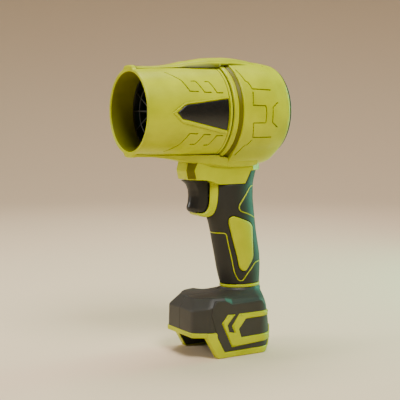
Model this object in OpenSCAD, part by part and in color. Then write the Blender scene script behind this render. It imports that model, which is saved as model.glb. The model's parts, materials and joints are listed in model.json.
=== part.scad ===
// Handheld cordless leaf blower with a jet fan in a round head, a pistol grip
// and a foot that takes a slide-on battery.
// Row frame: X forward along the air stream, Y to the left, Z up, with the
// floor at Z = 0 and the head centred over the origin.

/* [Head] */
// Height of the fan axis above the floor
head_z = 234; // [225:0.5:240]
// Half the head's length, from the origin to the nozzle lip
head_half = 77; // [77:0.5:80]
// Outer radius of the motor housing
barrel_r = 47.8; // [47.6:0.1:48.5]
// Outer radius of the housing's rear rim
rim_r = 44.4; // [44:0.1:45]
// Wall of the motor housing
barrel_wall = 2.4; // [2:0.1:2.6]
// Width of the top and bottom spines at the lip
spine_w = 17; // [14:0.5:18]

/* [Nozzle] */
// Outer radius at the lip
lip_r = 39.6; // [39.2:0.1:40]
// Radius of the outlet bore
bore_r = 36.7; // [36:0.1:37]
// Outer radius where the nozzle meets the housing
root_r = 44; // [43.6:0.1:44.2]
// Depth of the finger guard behind the lip
guard_depth = 26; // [22:0.5:30]

/* [Fan and motor] */
// Number of fan blades
blades = 9; // [5:1:11]
// Radius of the fan over its blade tips
fan_r = 42.4; // [38:0.1:42.6]
// Pitch of the blades
blade_pitch = 38; // [25:1:50]
// Radius of the motor can
can_r = 15; // [14:0.1:15.1]
// Radius of the motor shaft
shaft_r = 2.5; // [2:0.05:2.5]
// Running clearance of the shaft in its bearings
shaft_play = 0.05; // [0.02:0.01:0.1]
// Number of guide vanes that carry the motor
vanes = 7; // [5:1:9]

/* [Grip] */
// Thickness of the soft grip skin
skin_t = 2.2; // [1.8:0.1:2.4]
// Wall of the handle core
core_t = 2.4; // [2:0.1:2.6]

/* [Trigger] */
// Half the trigger's width
trigger_b = 8; // [7.8:0.1:8.5]
// Wall of the trigger's hollow back
trigger_wall = 1.2; // [1:0.1:1.2]
// Wire radius of the return spring
wire_r = 0.4; // [0.3:0.05:0.5]

/* [Foot] */
// Half the foot's width
foot_b = 34.5; // [34:0.1:35]
// Depth of the battery well
well_h = 20.5; // [20:0.5:21]
// Height of the lime band round the foot
band_h = 4.5; // [4:0.25:5]
// Inner face of the side legs
leg_in = 27.5; // [27:0.25:28]

/* [Fasteners] */
// Radius of the clamshell screws
screw_r = 1.5; // [1.2:0.05:1.6]
// Radius of their heads
head_r = 2.8; // [2.4:0.05:2.9]

/* [Hidden] */
$fn = 96;

lime = [0.74, 0.74, 0.08];
olive = [0.42, 0.40, 0.02];
charcoal = [0.20, 0.20, 0.18];
black = [0.08, 0.08, 0.08];
steel = [0.70, 0.71, 0.73];
brass = [0.80, 0.65, 0.30];
eps = 0.01;
gap = 0.1;

// Stations along the head, from front to rear
root_x = -6;
seal_x = -9;
collar_x = -10.2;
trim_x = -15.2;
barrel_x = -19.2;
rear_x = -74.3;
grille_x = -head_half;
spigot_r = 42.4;
spigot_end = -24;
guard_x = head_half - guard_depth;
mount_x = [-66, -26];
mount_r = barrel_r - barrel_wall - 1.2;
duct_r = 43;
fan_x = [-64, -52];
fan_hub_r = 16;
cup_r = 17;
motor_x = [-48, -14];
bearing_r = 6.5;
bearing_w = 4;
rotor_r = 11.5;
intake_r = 40;

// The nozzle's outer radius at a station x
function nozzle_r(x) = root_r - (x - root_x) * (root_r - lip_r) / (head_half - root_x);

// Flat on the nozzle, from its axis, that the spines sit on
spine_seat = 39;
seat_x = 38;

// Nozzle: its section as [station, radius]
nozzle_outline = concat(
    [[head_half, bore_r + 0.9], [head_half - 0.6, bore_r]],
    [[guard_x + 2, bore_r], [guard_x + 2, bore_r + 0.8], [guard_x - 2, bore_r + 0.8]],
    [[guard_x - 2, bore_r], [20, bore_r + 0.9], [root_x, spigot_r - 2.2], [spigot_end, spigot_r - 2.2]],
    [[spigot_end, spigot_r], [seal_x, spigot_r], [seal_x, root_r + 0.3], [root_x - 0.6, root_r + 0.3]],
    [[root_x - 0.6, root_r - 0.8], [root_x, root_r - 0.8], [root_x, root_r]],
    [[head_half - 1.4, lip_r], [head_half, lip_r - 1.2]]
);

// Motor housing: outline of its outer surface
barrel_profile = [
    [barrel_x, barrel_r - 0.8], [barrel_x - 0.8, barrel_r], [-46, barrel_r - 0.3],
    [-60, barrel_r - 1.2], [-70, barrel_r - 2.4], [rear_x, rim_r]
];

// Top spine: its crest as [station, height above the fan axis]
top_crest = [
    [76.2, 42.2], [72, 41.6], [54, 41.5], [43, 42.6], [33, 44.2], [22, 46.6],
    [11, 48.4], [0, 50], [-11, 50.8], [-22, 51.2], [-34, 50.7], [-46, 49.2],
    [-58, 46.9], [-67, 45]
];
// Bottom spine, which the handle sits against: its crest as [station, depth]
bottom_crest = [
    [76.2, 42.2], [72, 41.6], [54, 42.4], [38, 44.5], [22, 47.8], [11, 50.2],
    [0, 51.9], [-10, 53.2], [-28, 54.2], [-46, 54], [-61, 52.2], [-70, 49], [-73, 46.6]
];
spine_under = [
    [-19, 42], [-10, 46.4], [0, 46], [11, 44.9], [22, 43.4],
    [33, 41.6], [43, 39.4], [72, 39.4], [72, spine_seat], [76.2, spine_seat]
];

// Spine: half its plan as [station, half width]
spine_plan = [
    [76.2, spine_w / 2], [60, spine_w / 2 + 0.5], [50, 10.5], [27, 14], [10, 17.5], [-4, 20], [-74, 20.5]
];
// Arch across each spine: its radius and the height of its top
top_arch = [36, 51.4];
bottom_arch = [240, 54.3];

// Passage for the motor leads: corner and size
lead_passage = [[-30, -3, 160], [10, 6, 34]];

// Grip sections as [height, centre, half depth, half width]
grip_rings = [
    [65, -45.9, 20.8, 16], [72, -45, 22.2, 16.2], [80, -44.1, 23.5, 16.4],
    [93, -42.6, 24.5, 16.5], [105, -40.2, 24.7, 16.5], [117, -37.9, 24.8, 16.5],
    [127, -36, 25.4, 16.5], [138, -33, 27.2, 16.5], [149, -31.6, 27.4, 16.5],
    [164, -32, 27.2, 16.1], [177, -36.4, 26.4, 15.6]
];
grip_n = 28;
function grip_ring_points(g, inset) = [
    for (i = [0 : grip_n - 1])
        let (t = i * 360 / grip_n)
        [g[1] + (g[2] - inset) * cos(t), (g[3] - inset) * sin(t), g[0]]
];

// Foot sections as [height, front, rear, half width, squareness]
foot_rings = [
    [25, 23, -68.2, foot_b - 0.3, 5], [30, 23, -68.5, foot_b, 5],
    [46, 22.6, -67.6, foot_b - 0.6, 4.4], [51, 19.5, -67, foot_b - 2, 3.6],
    [55.5, 14, -67, foot_b - 6, 3], [57.5, -10, -67.4, foot_b - 12, 2.4],
    [62, -23.6, -68.2, 16.6, 2]
];
foot_n = 36;
function sgn_pow(v, p) = sign(v) * pow(abs(v), p);
function foot_ring_points(f, inset, z) = [
    for (i = [0 : foot_n - 1])
        let (t = i * 360 / foot_n + 360 / foot_n / 2)
        let (a = (f[1] - f[2]) / 2 - inset, b = f[3] - inset)
        [(f[1] + f[2]) / 2 + a * sgn_pow(cos(t), 2 / f[4]), b * sgn_pow(sin(t), 2 / f[4]), z]
];

// Neck and trigger housing, side outline
neck_side = [
    [26.5, 178.5], [24.3, 185.6], [24, 200], [-62, 200], [-63, 177], [-48.5, 177],
    [-42.5, 164], [-8, 164], [8, 166], [22.2, 169]
];
neck_plan = [
    [26.5, -7.5], [26.5, 7.5], [21, 12.5], [14, 12.5], [11, 15.5], [-48, 15.5],
    [-63, 9], [-63, -9], [-48, -15.5], [11, -15.5], [14, -12.5], [21, -12.5]
];
// Strip behind and under the trigger, side outline
strip_side = [
    [-12, 166], [-12, 136], [-6, 129.5], [4, 131], [11, 134.5], [11, 138],
    [5.5, 138], [-1, 141], [-4.5, 146], [-5.5, 166]
];
// Trigger, side outline at rest
trigger_side = [
    [20.5, 168.6], [15, 164.5], [12.8, 159], [12, 153], [12.8, 147], [14.4, 142.5],
    [13.2, 139.8], [9.6, 138.3], [-2.6, 138.5], [-4.4, 140.6], [-4.4, 168.6]
];
trigger_back = 2.6;
switch_box = [[-34, -6.5, 142], [-8.5, 6.5, 163]];
plunger_z = 153;

// Leads: radius, sides of their section and routes as [station, height]
lead_r = 1.1;
wire_sides = 10;
battery_route = [
    [-30, 30], [-34, 31], [-38, 34], [-41, 39], [-43, 46], [-44, 54], [-43, 66],
    [-42, 86], [-36, 92], [-33, 108], [-31, 126], [-29, 141.5]
];
motor_route = [[-26, 163.5], [-26, 172], [-25.5, 180], [-25, 188.4]];

// Screw places as [station, height]
handle_screw_at = [[-41, 99], [-50, 76], [-46, 171], [-14, 171]];
foot_screw_at = [[9, 38], [-51, 48]];
screw_len = 17;
boss_r = 3.6;
screw_head_y = -9;
ceiling_z = 23;

// Side legs and the dark panels in them, side outlines
leg_side = [
    [12, 25], [11.6, well_h], [0, 0], [-54.6, 0], [-61.5, 5.8], [-63.8, 19], [-65.5, 25]
];
leg_panel = [[2.4, 25], [0.8, 19.7], [-7.4, 4.8], [-58.6, 5.6], [-61, 12], [-62.6, 25]];

// Arrow inlays of the nozzle, side outline about the fan axis
arrow = [
    [49, 0], [42, 8.2], [-4.9, 11.2], [-5.9, 11.2], [-5.9, -16], [-4.9, -16], [41.5, -7.2]
];
// Chevron badge of the foot, side outline
badge_outer = [
    [-10.7, 41.2], [-3.8, 33.5], [-15.1, 9.3], [-61.4, 11.8], [-62, 18.8], [-25.9, 18],
    [-23.1, 26.1], [-31.1, 35.3], [-58.6, 35.8], [-58.8, 41.1], [-23.5, 41], [-15, 29.8],
    [-18.3, 23], [-12.2, 24.5], [-10.3, 31.2], [-19.4, 41]
];
// Side panel of the grip, side outline
panel_side = [
    [-25.4, 132.2], [-48.7, 124.9], [-52.3, 121.7], [-52.5, 92], [-43.1, 78.8],
    [-37.2, 79.3]
];

// Places children on the fan axis, turned so that their Z runs along X
module on_axis(x = 0) {
    translate([x, 0, head_z]) rotate([0, 90, 0]) children();
}

// A tube on the fan axis
module tube_x(x0, x1, r_out, r_in) {
    on_axis(x0) difference() {
        cylinder(h = x1 - x0, r = r_out);
        translate([0, 0, -1]) cylinder(h = x1 - x0 + 2, r = r_in);
    }
}

// A rod on the fan axis
module rod_x(x0, x1, r) {
    on_axis(x0) cylinder(h = x1 - x0, r = r);
}

// Turns a closed outline of [station, radius] round the fan axis
module revolve_x(outline) {
    on_axis() rotate_extrude() polygon([for (p = outline) [p[1], p[0]]]);
}

// Solid of an outline of [x, z] between two Y planes
module slab(outline, y0, y1) {
    translate([0, y1, 0]) rotate([90, 0, 0]) linear_extrude(height = y1 - y0) polygon(outline);
}

// A rod along Y
module rod_y(x, z, y0, y1, r) {
    translate([x, y1, z]) rotate([90, 0, 0]) cylinder(h = y1 - y0, r = r, $fn = 32);
}

// Keeps one side of the middle plane: side is 1 for left, -1 for right
module half(side) {
    intersection() {
        children();
        translate([-150, side > 0 ? 0 : -150, -10]) cube([300, 150, 400]);
    }
}

module mirrored(side) {
    if (side > 0) children();
    else mirror([0, 1, 0]) children();
}

// Closed solid through a stack of rings with equal point counts
module loft(rings) {
    n = len(rings[0]);
    last = len(rings) - 1;
    sides = [
        for (i = [0 : last - 1], j = [0 : n - 1])
            let (k = (j + 1) % n)
            each [[i * n + j, (i + 1) * n + j, (i + 1) * n + k], [i * n + j, (i + 1) * n + k, i * n + k]]
    ];
    polyhedron(
        points = [for (r = rings) each r],
        faces = concat(sides, [[for (j = [0 : n - 1]) j]], [[for (j = [n - 1 : -1 : 0]) last * n + j]])
    );
}

module grip_solid(inset) {
    loft([for (g = grip_rings) grip_ring_points(g, inset)]);
}

// ---- Nozzle ----

module nozzle_tube() {
    color(lime) difference() {
        revolve_x(nozzle_outline);
        for (s = [-1, 1]) {
            nozzle_insert_shape(s);
            translate([0, 0, head_z]) mirror([0, 0, s > 0 ? 0 : 1]) intersection() {
                translate([seat_x, -30, spine_seat]) cube([50, 60, 10]);
                spine_plan_solid(0.2);
            }
        }
    }
}

module nozzle_insert_shape(side) {
    intersection() {
        revolve_x([[55, nozzle_r(55) - 1.2], [-5.9, nozzle_r(-5.9) - 1.2],
                   [-5.9, nozzle_r(-5.9) + 0.4], [55, nozzle_r(55) + 0.4]]);
        mirrored(side) slab([for (p = arrow) [p[0], p[1] + head_z]], 20, 60);
    }
}

module nozzle_insert_left() { color(black) nozzle_insert_shape(1); }
module nozzle_insert_right() { color(black) nozzle_insert_shape(-1); }
module nozzle_seal() { color(black) tube_x(collar_x, seal_x, root_r - 0.6, spigot_r + gap); }

module lock_collar() {
    color(lime) revolve_x([[trim_x, spigot_r + gap], [collar_x, spigot_r + gap], [collar_x, root_r + 1],
                           [collar_x - 0.8, root_r + 1.7], [trim_x, root_r + 1.9]]);
}

module trim_ring() {
    color(olive) revolve_x([[barrel_x, spigot_r + gap], [trim_x, spigot_r + gap], [trim_x, root_r + 1.6],
                            [trim_x - 1, root_r + 2.2], [barrel_x, barrel_r - 1.2]]);
}

module outlet_guard() {
    color(black) {
        tube_x(guard_x - 2, guard_x + 2, bore_r + 0.8 - gap, bore_r - 1.6);
        tube_x(guard_x - 1.5, guard_x + 1.5, 25, 23.4);
        rod_x(guard_x - 1.5, guard_x + 1.5, 11);
        for (i = [0 : 11]) {
            translate([guard_x - 1.5, 0, head_z]) rotate([i * 30, 0, 0])
                translate([0, -0.7, 10]) cube([3, 1.4, bore_r - 11]);
        }
    }
}

// ---- Motor housing ----

module barrel_solid() {
    inner = [[rear_x, intake_r], [rear_x + barrel_wall, intake_r], [rear_x + barrel_wall, 42.2],
             [-67, mount_r + gap], [barrel_x - barrel_wall, mount_r + gap],
             [barrel_x - barrel_wall, spigot_r + gap], [barrel_x, spigot_r + gap]];
    revolve_x(concat(barrel_profile, inner));
}

module motor_housing(side) {
    color(lime) half(side) difference() {
        barrel_solid();
        translate(lead_passage[0]) cube(lead_passage[1]);
        grille_screw_set(0.9, 0.9);
    }
}
module motor_housing_left() { motor_housing(1); }
module motor_housing_right() { motor_housing(-1); }

// A spine's plan, raised from the fan axis and widened all round
module spine_plan_solid(grow) {
    linear_extrude(height = 60) polygon(concat(
        [for (p = spine_plan) [p[0] + grow, p[1] + grow]],
        [for (i = [len(spine_plan) - 1 : -1 : 0]) [spine_plan[i][0] + grow, -spine_plan[i][1] - grow]]
    ));
}

module spine(crest, arch, side) {
    end = crest[len(crest) - 1][0];
    color(lime) difference() {
        translate([0, 0, head_z]) mirror([0, 0, side > 0 ? 0 : 1]) intersection() {
            slab(concat(crest, [[end, 42]], spine_under), -25, 25);
            spine_plan_solid(0);
            translate([-80, 0, arch[1] - arch[0]]) rotate([0, 90, 0]) cylinder(h = 160, r = arch[0]);
        }
        // Clearance over the housing, the rings and the nozzle
        revolve_x([[-80, 0], [-80, rim_r], [rear_x, rim_r + gap],
                   [-70, barrel_r - 2.3], [-60, barrel_r - 1.1],
                   [-46, barrel_r - 0.2], [barrel_x - 0.8, barrel_r + gap], [barrel_x, barrel_r + gap],
                   [barrel_x, 46.9], [trim_x, 46.9], [collar_x, 46.1], [collar_x, 44.6], [root_x, 44.5],
                   [42, nozzle_r(42) + 0.4], [42, 0]]);
    }
}
module spine_top() {
    difference() {
        spine(top_crest, top_arch, 1);
        // Plain end over the rear of the housing
        rod_x(rear_x, -60, barrel_r - 0.6);
    }
}
module spine_bottom() {
    difference() {
        spine(bottom_crest, bottom_arch, -1);
        translate(lead_passage[0]) cube(lead_passage[1]);
    }
}

module grille_screw_set(r_shank, r_head) {
    for (i = [0 : 3]) {
        on_axis() rotate([0, 0, 45 + 90 * i]) translate([41, 0, 0]) {
            translate([0, 0, -76.2]) cylinder(h = 5.6, r = r_shank, $fn = 24);
            translate([0, 0, -76.9]) cylinder(h = 1.1, r = r_head, $fn = 24);
        }
    }
}

// Rings and spokes of the grille, seen along the fan axis
module grille_pattern() {
    for (r = [9, 17, 24, 31]) {
        difference() {
            circle(r = r + 0.9);
            if (r > 9) circle(r = r - 0.9);
        }
    }
    difference() {
        circle(r = 43);
        circle(r = intake_r - 1.6);
    }
    for (i = [0 : 11]) {
        rotate(i * 30) translate([8, -0.8]) square([intake_r - 9, 1.6]);
    }
}

module intake_grille() {
    color(black) difference() {
        union() {
            on_axis(grille_x) linear_extrude(height = rear_x - grille_x) grille_pattern();
            tube_x(rear_x, rear_x + 4, intake_r - gap, intake_r - 1.6);
        }
        grille_screw_set(0.9, 1.6);
    }
}
module grille_screws() { color(steel) grille_screw_set(0.9, 1.6); }

// ---- Fan and motor ----

module motor_mount() {
    color(black) difference() {
        union() {
            tube_x(mount_x[0], mount_x[1], mount_r, duct_r);
            tube_x(motor_x[0] - 1, motor_x[1] + 2, cup_r, can_r);
            rod_x(motor_x[1], motor_x[1] + 2, cup_r - 1);
            for (i = [0 : vanes - 1]) {
                translate([-44, 0, head_z]) rotate([i * 360 / vanes, 0, 0])
                    translate([0, -0.9, cup_r - 0.6]) cube([17, 1.8, duct_r - cup_r + 1.2]);
            }
        }
        rod_x(motor_x[1] - 1, motor_x[1] + 3, bearing_r - 1);
        motor_screw_set(1.05, 0.1);
    }
}

module motor_screw_set(r_shank, r_head) {
    for (i = [0 : 3]) {
        on_axis() rotate([0, 0, 90 * i + 45]) translate([10, 0, 0]) {
            translate([0, 0, motor_x[1] - 3]) cylinder(h = 5 + eps, r = r_shank, $fn = 24);
            translate([0, 0, motor_x[1] + 2]) cylinder(h = 1.6, r = r_head, $fn = 24);
        }
    }
}
module motor_screws() { color(steel) motor_screw_set(1.05, 2); }

module motor_can() {
    color(steel) difference() {
        rod_x(motor_x[0], motor_x[1], can_r);
        rod_x(motor_x[0] + 3.5, motor_x[1] - 3.5, can_r - 2.2);
        rod_x(motor_x[0] - 1, motor_x[1] + 1, shaft_r + 1);
        rod_x(motor_x[0] + 1, motor_x[0] + 4, bearing_r);
        rod_x(motor_x[1] - 4, motor_x[1] - 1, bearing_r);
        motor_screw_set(1.05, 0.1);
        // Opening for the motor leads
        translate([motor_x[1] - 12, -5, head_z - can_r - 1]) cube([6, 10, 5]);
    }
}

module bearing(x) {
    color(steel) tube_x(x, x + bearing_w, bearing_r, shaft_r + shaft_play);
}
module rear_bearing() { bearing(motor_x[0] + 1); }
module front_bearing() { bearing(motor_x[1] - 1 - bearing_w); }
module motor_rotor() { color(steel) tube_x(-40, -22, rotor_r, shaft_r); }
module motor_shaft() { color(steel) rod_x(-69.5, motor_x[1] - 1, shaft_r); }

module nose_cone() {
    x0 = motor_x[1] + 2;
    color(black) revolve_x([
        [x0, cup_r], [x0 + 4, cup_r - 0.4], [x0 + 10, cup_r - 2.4], [x0 + 16, cup_r - 6],
        [x0 + 20, cup_r - 10.5], [x0 + 22, 0], [x0 + 20, 0], [x0 + 18, cup_r - 11.5],
        [x0 + 14, cup_r - 7], [x0 + 8, cup_r - 4], [x0, cup_r - 2.2]
    ]);
}

module fan_impeller() {
    depth = fan_x[1] - fan_x[0];
    color(charcoal) difference() {
        union() {
            rod_x(fan_x[0], fan_x[1], fan_hub_r);
            intersection() {
                tube_x(fan_x[0], fan_x[1], fan_r, fan_hub_r - 1);
                for (i = [0 : blades - 1]) {
                    translate([(fan_x[0] + fan_x[1]) / 2, 0, head_z]) rotate([i * 360 / blades, 0, 0])
                        rotate([0, 0, blade_pitch]) translate([-depth, -0.7, fan_hub_r - 1.5])
                        cube([2 * depth, 1.4, fan_r - fan_hub_r + 2]);
                }
            }
        }
        rod_x(fan_x[0] - 1, fan_x[1] + 1, shaft_r);
    }
}

module fan_nut() {
    color(steel) on_axis(fan_x[0] - 4) difference() {
        cylinder(h = 4, r = 4.6, $fn = 6);
        translate([0, 0, -1]) cylinder(h = 6, r = shaft_r);
    }
}

// ---- Handle ----

module handle_screw_set(r_shank, r_head, y_head) {
    for (p = handle_screw_at) {
        rod_y(p[0], p[1], y_head, y_head + screw_len, r_shank);
        rod_y(p[0], p[1], y_head - 2, y_head, r_head);
    }
}

module neck_solid(inset) {
    intersection() {
        slab(neck_side, -20, 20);
        translate([0, 0, 100]) linear_extrude(height = 120) polygon([
            for (p = neck_plan) [p[0] - sign(p[0]) * inset, p[1] - sign(p[1]) * inset]
        ]);
    }
}

module handle(side) {
    color(lime) half(side) difference() {
        union() {
            difference() {
                union() {
                    grip_solid(skin_t + 0.03);
                    slab(strip_side, -9.5, 9.5);
                }
                grip_solid(skin_t + core_t);
                translate([-60, -9.8, 139.2]) cube([45, 19.6, 30]);
            }
            difference() {
                neck_solid(0);
                intersection() {
                    neck_solid(core_t);
                    translate([-60, -30, 161]) cube([80, 60, 20.5]);
                }
            }
            // Screw bosses, kept inside the grip core and the neck
            intersection() {
                for (p = handle_screw_at) {
                    rod_y(p[0], p[1], -13.4, 13.4, boss_r);
                }
                union() {
                    grip_solid(skin_t + 0.03);
                    neck_solid(core_t - 0.2);
                }
            }
        }
        // Seat under the bottom spine
        rod_x(-90, 60, barrel_r + gap);
        translate([0, 0, head_z]) mirror([0, 0, 1])
            slab(concat(bottom_crest, [[-73, 20], [76, 20]]), -40, 40);
        // Trigger pocket
        translate([-11, -trigger_b - 0.4, 137.9]) cube([37, 2 * trigger_b + 0.8, 31.2]);
        // Switch pocket
        translate([switch_box[0][0] - 0.2, -6.8, switch_box[0][2] - 0.2]) cube([40, 13.6, 21.4]);
        // Lead passage to the motor
        translate(lead_passage[0]) cube(lead_passage[1]);
        handle_screw_set(screw_r, head_r + 0.2, screw_head_y);
        for (p = handle_screw_at) {
            rod_y(p[0], p[1], -30, screw_head_y - 1, head_r + 0.2);
        }
    }
}
module handle_left() { handle(1); }
module handle_right() { handle(-1); }
module handle_screws() { color(steel) handle_screw_set(screw_r, head_r, screw_head_y); }

module panel_shape(side, inset) {
    intersection() {
        mirrored(side) slab(panel_side, 4, 30);
        grip_solid(inset);
    }
}

module grip_skin(side) {
    color(charcoal) half(side) difference() {
        grip_solid(0);
        grip_solid(skin_t);
        // Open front behind the trigger
        translate([-12, -30, 128]) cube([40, 60, 60]);
        // Window for the side panel
        mirrored(side) slab(panel_side, 4, 30);
        // Edge against the neck plate
        slab([[-12, 180], [-12, 163.9], [-43, 163.9], [-49, 180]], -30, 30);
        neck_solid(0);
        for (p = handle_screw_at) {
            rod_y(p[0], p[1], -30, screw_head_y - 1, head_r + 0.2);
        }
    }
}
module grip_skin_left() { grip_skin(1); }
module grip_skin_right() { grip_skin(-1); }

module grip_panel(side) {
    color(lime) difference() {
        panel_shape(side, -0.6);
        grip_solid(skin_t);
        for (p = handle_screw_at) {
            rod_y(p[0], p[1], -30, screw_head_y - 1, head_r + 0.2);
        }
    }
}
module grip_panel_left() { grip_panel(1); }
module grip_panel_right() { grip_panel(-1); }

module grip_ring() {
    color(lime) difference() {
        loft([for (z = [62, 65]) grip_ring_points([z, -45.9, 21.2, 16.4], 0)]);
        loft([for (z = [61, 66]) grip_ring_points([z, -45.9, 21.2, 16.4], 4.6)]);
    }
}

// ---- Trigger and switch ----

module trigger() {
    hollow_b = trigger_b - trigger_wall;
    color(black) difference() {
        slab(trigger_side, -trigger_b, trigger_b);
        // Hollow back, which closes round the switch as the trigger is pulled
        translate([trigger_back - 10, -hollow_b, 141]) cube([10, 2 * hollow_b, 23.5]);
        translate([1, -2.7, plunger_z - 2.7]) cube([4, 5.4, 5.4]);
    }
}

module trigger_spring() {
    // Coil turns as a stack of rings round the plunger
    color(steel) for (i = [0 : 4]) {
        translate([-6.6 + i * 1.85, 0, plunger_z]) rotate([0, 90, 0])
            rotate_extrude($fn = 32) translate([3.4, 0]) circle(r = wire_r, $fn = 16);
    }
}

module switch_body() {
    color(black) difference() {
        translate(switch_box[0]) cube(switch_box[1] - switch_box[0]);
        translate([-17, 0, plunger_z]) rotate([0, 90, 0]) cylinder(h = 10, r = 2.35);
    }
}

module switch_plunger() {
    color(steel) translate([-10, 0, plunger_z]) rotate([0, 90, 0]) cylinder(h = 15, r = 2.25);
}

// ---- Foot ----

module foot_solid(inset) {
    loft([for (f = foot_rings) foot_ring_points(f, inset, f[0])]);
}

// The straight plan of the foot between two heights
module foot_plan(inset, z0, z1) {
    loft([for (z = [z0, z1]) foot_ring_points(foot_rings[0], inset, z)]);
}

module foot_screw_set(r_shank, r_head, y_head) {
    for (p = foot_screw_at) {
        rod_y(p[0], p[1], y_head, y_head + screw_len, r_shank);
        rod_y(p[0], p[1], y_head - 2, y_head, r_head);
    }
}

module foot_shell(side) {
    color(charcoal) half(side) difference() {
        union() {
            difference() {
                foot_solid(0);
                intersection() {
                    foot_solid(2.6);
                    translate([-80, -40, 20]) cube([120, 80, 39.5]);
                }
            }
            // Ceiling of the battery well
            intersection() {
                foot_plan(3, ceiling_z, 25 + eps);
                translate([-70, -leg_in, ceiling_z]) cube([100, 2 * leg_in, 3]);
            }
            foot_plan(2, 25, 26);
            // Side legs
            mirrored(side) slab(leg_panel, leg_in, foot_b - 0.2);
            // Rear wall of the well
            translate([-63, -leg_in, band_h]) cube([4, 2 * leg_in, 22]);
            for (p = foot_screw_at) {
                rod_y(p[0], p[1], -30, 30, 4.2);
            }
        }
        // Mouth for the handle core
        loft([for (z = [58, 63]) grip_ring_points([z, -45.9, 21.2, 16.4], 4.6)]);
        foot_screw_set(screw_r, head_r + 0.2, screw_head_y);
        for (p = foot_screw_at) {
            rod_y(p[0], p[1], -40, screw_head_y - 1, head_r + 0.2);
        }
        // Seat of the badge
        mirrored(side) slab(badge_outer, foot_b - 1.2, foot_b + 5);
    }
}
module foot_shell_left() { foot_shell(1); }
module foot_shell_right() { foot_shell(-1); }

module foot_trim(side) {
    color(lime) half(side) difference() {
        union() {
            intersection() {
                foot_plan(-0.2, well_h, 25);
                translate([-2, -40, well_h]) cube([40, 80, 10]);
            }
            mirrored(side) slab(leg_side, leg_in, foot_b);
        }
        translate([0, 0, -1]) foot_plan(3, well_h, 27);
        mirrored(side) slab(leg_panel, leg_in - 1, foot_b + 1);
        mirrored(side) slab(badge_outer, foot_b - 1.2, foot_b + 1);
        translate([-63, -leg_in, band_h]) cube([4, 2 * leg_in, 22]);
    }
}
module foot_trim_left() { foot_trim(1); }
module foot_trim_right() { foot_trim(-1); }

module foot_badge(side) {
    color(lime) mirrored(side) slab(badge_outer, foot_b - 1.2, foot_b);
}
module foot_badge_left() { foot_badge(1); }
module foot_badge_right() { foot_badge(-1); }
module foot_screws() { color(steel) foot_screw_set(screw_r, head_r, screw_head_y); }

module terminal_block() {
    color(black) translate([-59, -17, ceiling_z - 14.5]) cube([14, 34, 14.5]);
}

module terminal_blades() {
    color(brass) for (y = [-12, -4, 4, 12]) {
        translate([-45, y - 0.4, ceiling_z - 11.5]) cube([12, 0.8, 6]);
    }
}

module controller_board() {
    color([0.1, 0.35, 0.2]) translate([-30, -20, 27]) cube([36, 40, 1.6]);
}

// ---- Wiring ----

// Rings square to a route of [x, z] points in the plane Y = y
function route_dir(p, i) = p[min(i + 1, len(p) - 1)] - p[max(i - 1, 0)];
function wire_ring(p, y, i, r) =
    let (d = route_dir(p, i) / norm(route_dir(p, i)), turn = 360 / wire_sides)
    [for (k = [0 : wire_sides - 1])
        [p[i][0] - d[1] * r * cos(turn * k), y + r * sin(turn * k), p[i][1] + d[0] * r * cos(turn * k)]];

module wire_run(points, y, r) {
    loft([for (i = [0 : len(points) - 1]) wire_ring(points, y, i, r)]);
}

module battery_leads() {
    color("firebrick") for (y = [-3, 3]) {
        wire_run(battery_route, y, lead_r);
    }
}

module motor_leads() {
    color("firebrick") for (y = [-1.6, 1.6]) {
        wire_run(motor_route, y, lead_r);
    }
}

nozzle_tube();
nozzle_insert_left();
nozzle_insert_right();
nozzle_seal();
lock_collar();
trim_ring();
motor_housing_left();
motor_housing_right();
spine_top();
spine_bottom();
intake_grille();
grille_screws();
outlet_guard();
motor_mount();
motor_can();
motor_rotor();
motor_shaft();
front_bearing();
rear_bearing();
motor_screws();
nose_cone();
fan_impeller();
fan_nut();
handle_left();
handle_right();
handle_screws();
grip_skin_left();
grip_skin_right();
grip_panel_left();
grip_panel_right();
grip_ring();
trigger();
trigger_spring();
switch_body();
switch_plunger();
foot_shell_left();
foot_shell_right();
foot_trim_left();
foot_trim_right();
foot_badge_left();
foot_badge_right();
foot_screws();
terminal_block();
terminal_blades();
controller_board();
battery_leads();
motor_leads();
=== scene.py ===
import json
import math

import bmesh
import bpy
import numpy as np
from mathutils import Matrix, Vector
from mathutils.geometry import delaunay_2d_cdt


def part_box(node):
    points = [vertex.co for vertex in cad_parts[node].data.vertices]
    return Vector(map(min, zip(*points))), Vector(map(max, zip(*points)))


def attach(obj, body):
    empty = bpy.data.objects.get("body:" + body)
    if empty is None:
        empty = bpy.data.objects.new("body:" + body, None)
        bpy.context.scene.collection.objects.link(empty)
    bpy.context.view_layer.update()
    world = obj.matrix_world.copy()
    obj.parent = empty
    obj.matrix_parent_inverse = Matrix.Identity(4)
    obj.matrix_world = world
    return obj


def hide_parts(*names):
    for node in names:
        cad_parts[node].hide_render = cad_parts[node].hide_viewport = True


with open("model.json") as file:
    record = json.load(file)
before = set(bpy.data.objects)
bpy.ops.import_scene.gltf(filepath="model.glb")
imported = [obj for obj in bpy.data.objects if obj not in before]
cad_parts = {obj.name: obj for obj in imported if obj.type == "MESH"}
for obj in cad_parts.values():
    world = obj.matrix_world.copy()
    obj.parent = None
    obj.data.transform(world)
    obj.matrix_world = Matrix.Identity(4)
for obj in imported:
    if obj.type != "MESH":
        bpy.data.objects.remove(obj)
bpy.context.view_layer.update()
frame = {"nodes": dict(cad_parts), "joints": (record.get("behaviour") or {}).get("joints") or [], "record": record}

# Shapes are worked out in millimetres in the row frame: X forward, Y left, Z up.
MM = 0.001
scene = bpy.context.scene


def span(node):
    """Lowest and highest corner of a CAD node, in millimetres."""
    low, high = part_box(node)
    return np.array(low) / MM, np.array(high) / MM


def joint(name):
    return next(j for j in frame["joints"] if j["name"] == name)


# ---- Places taken from the frame ----

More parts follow.
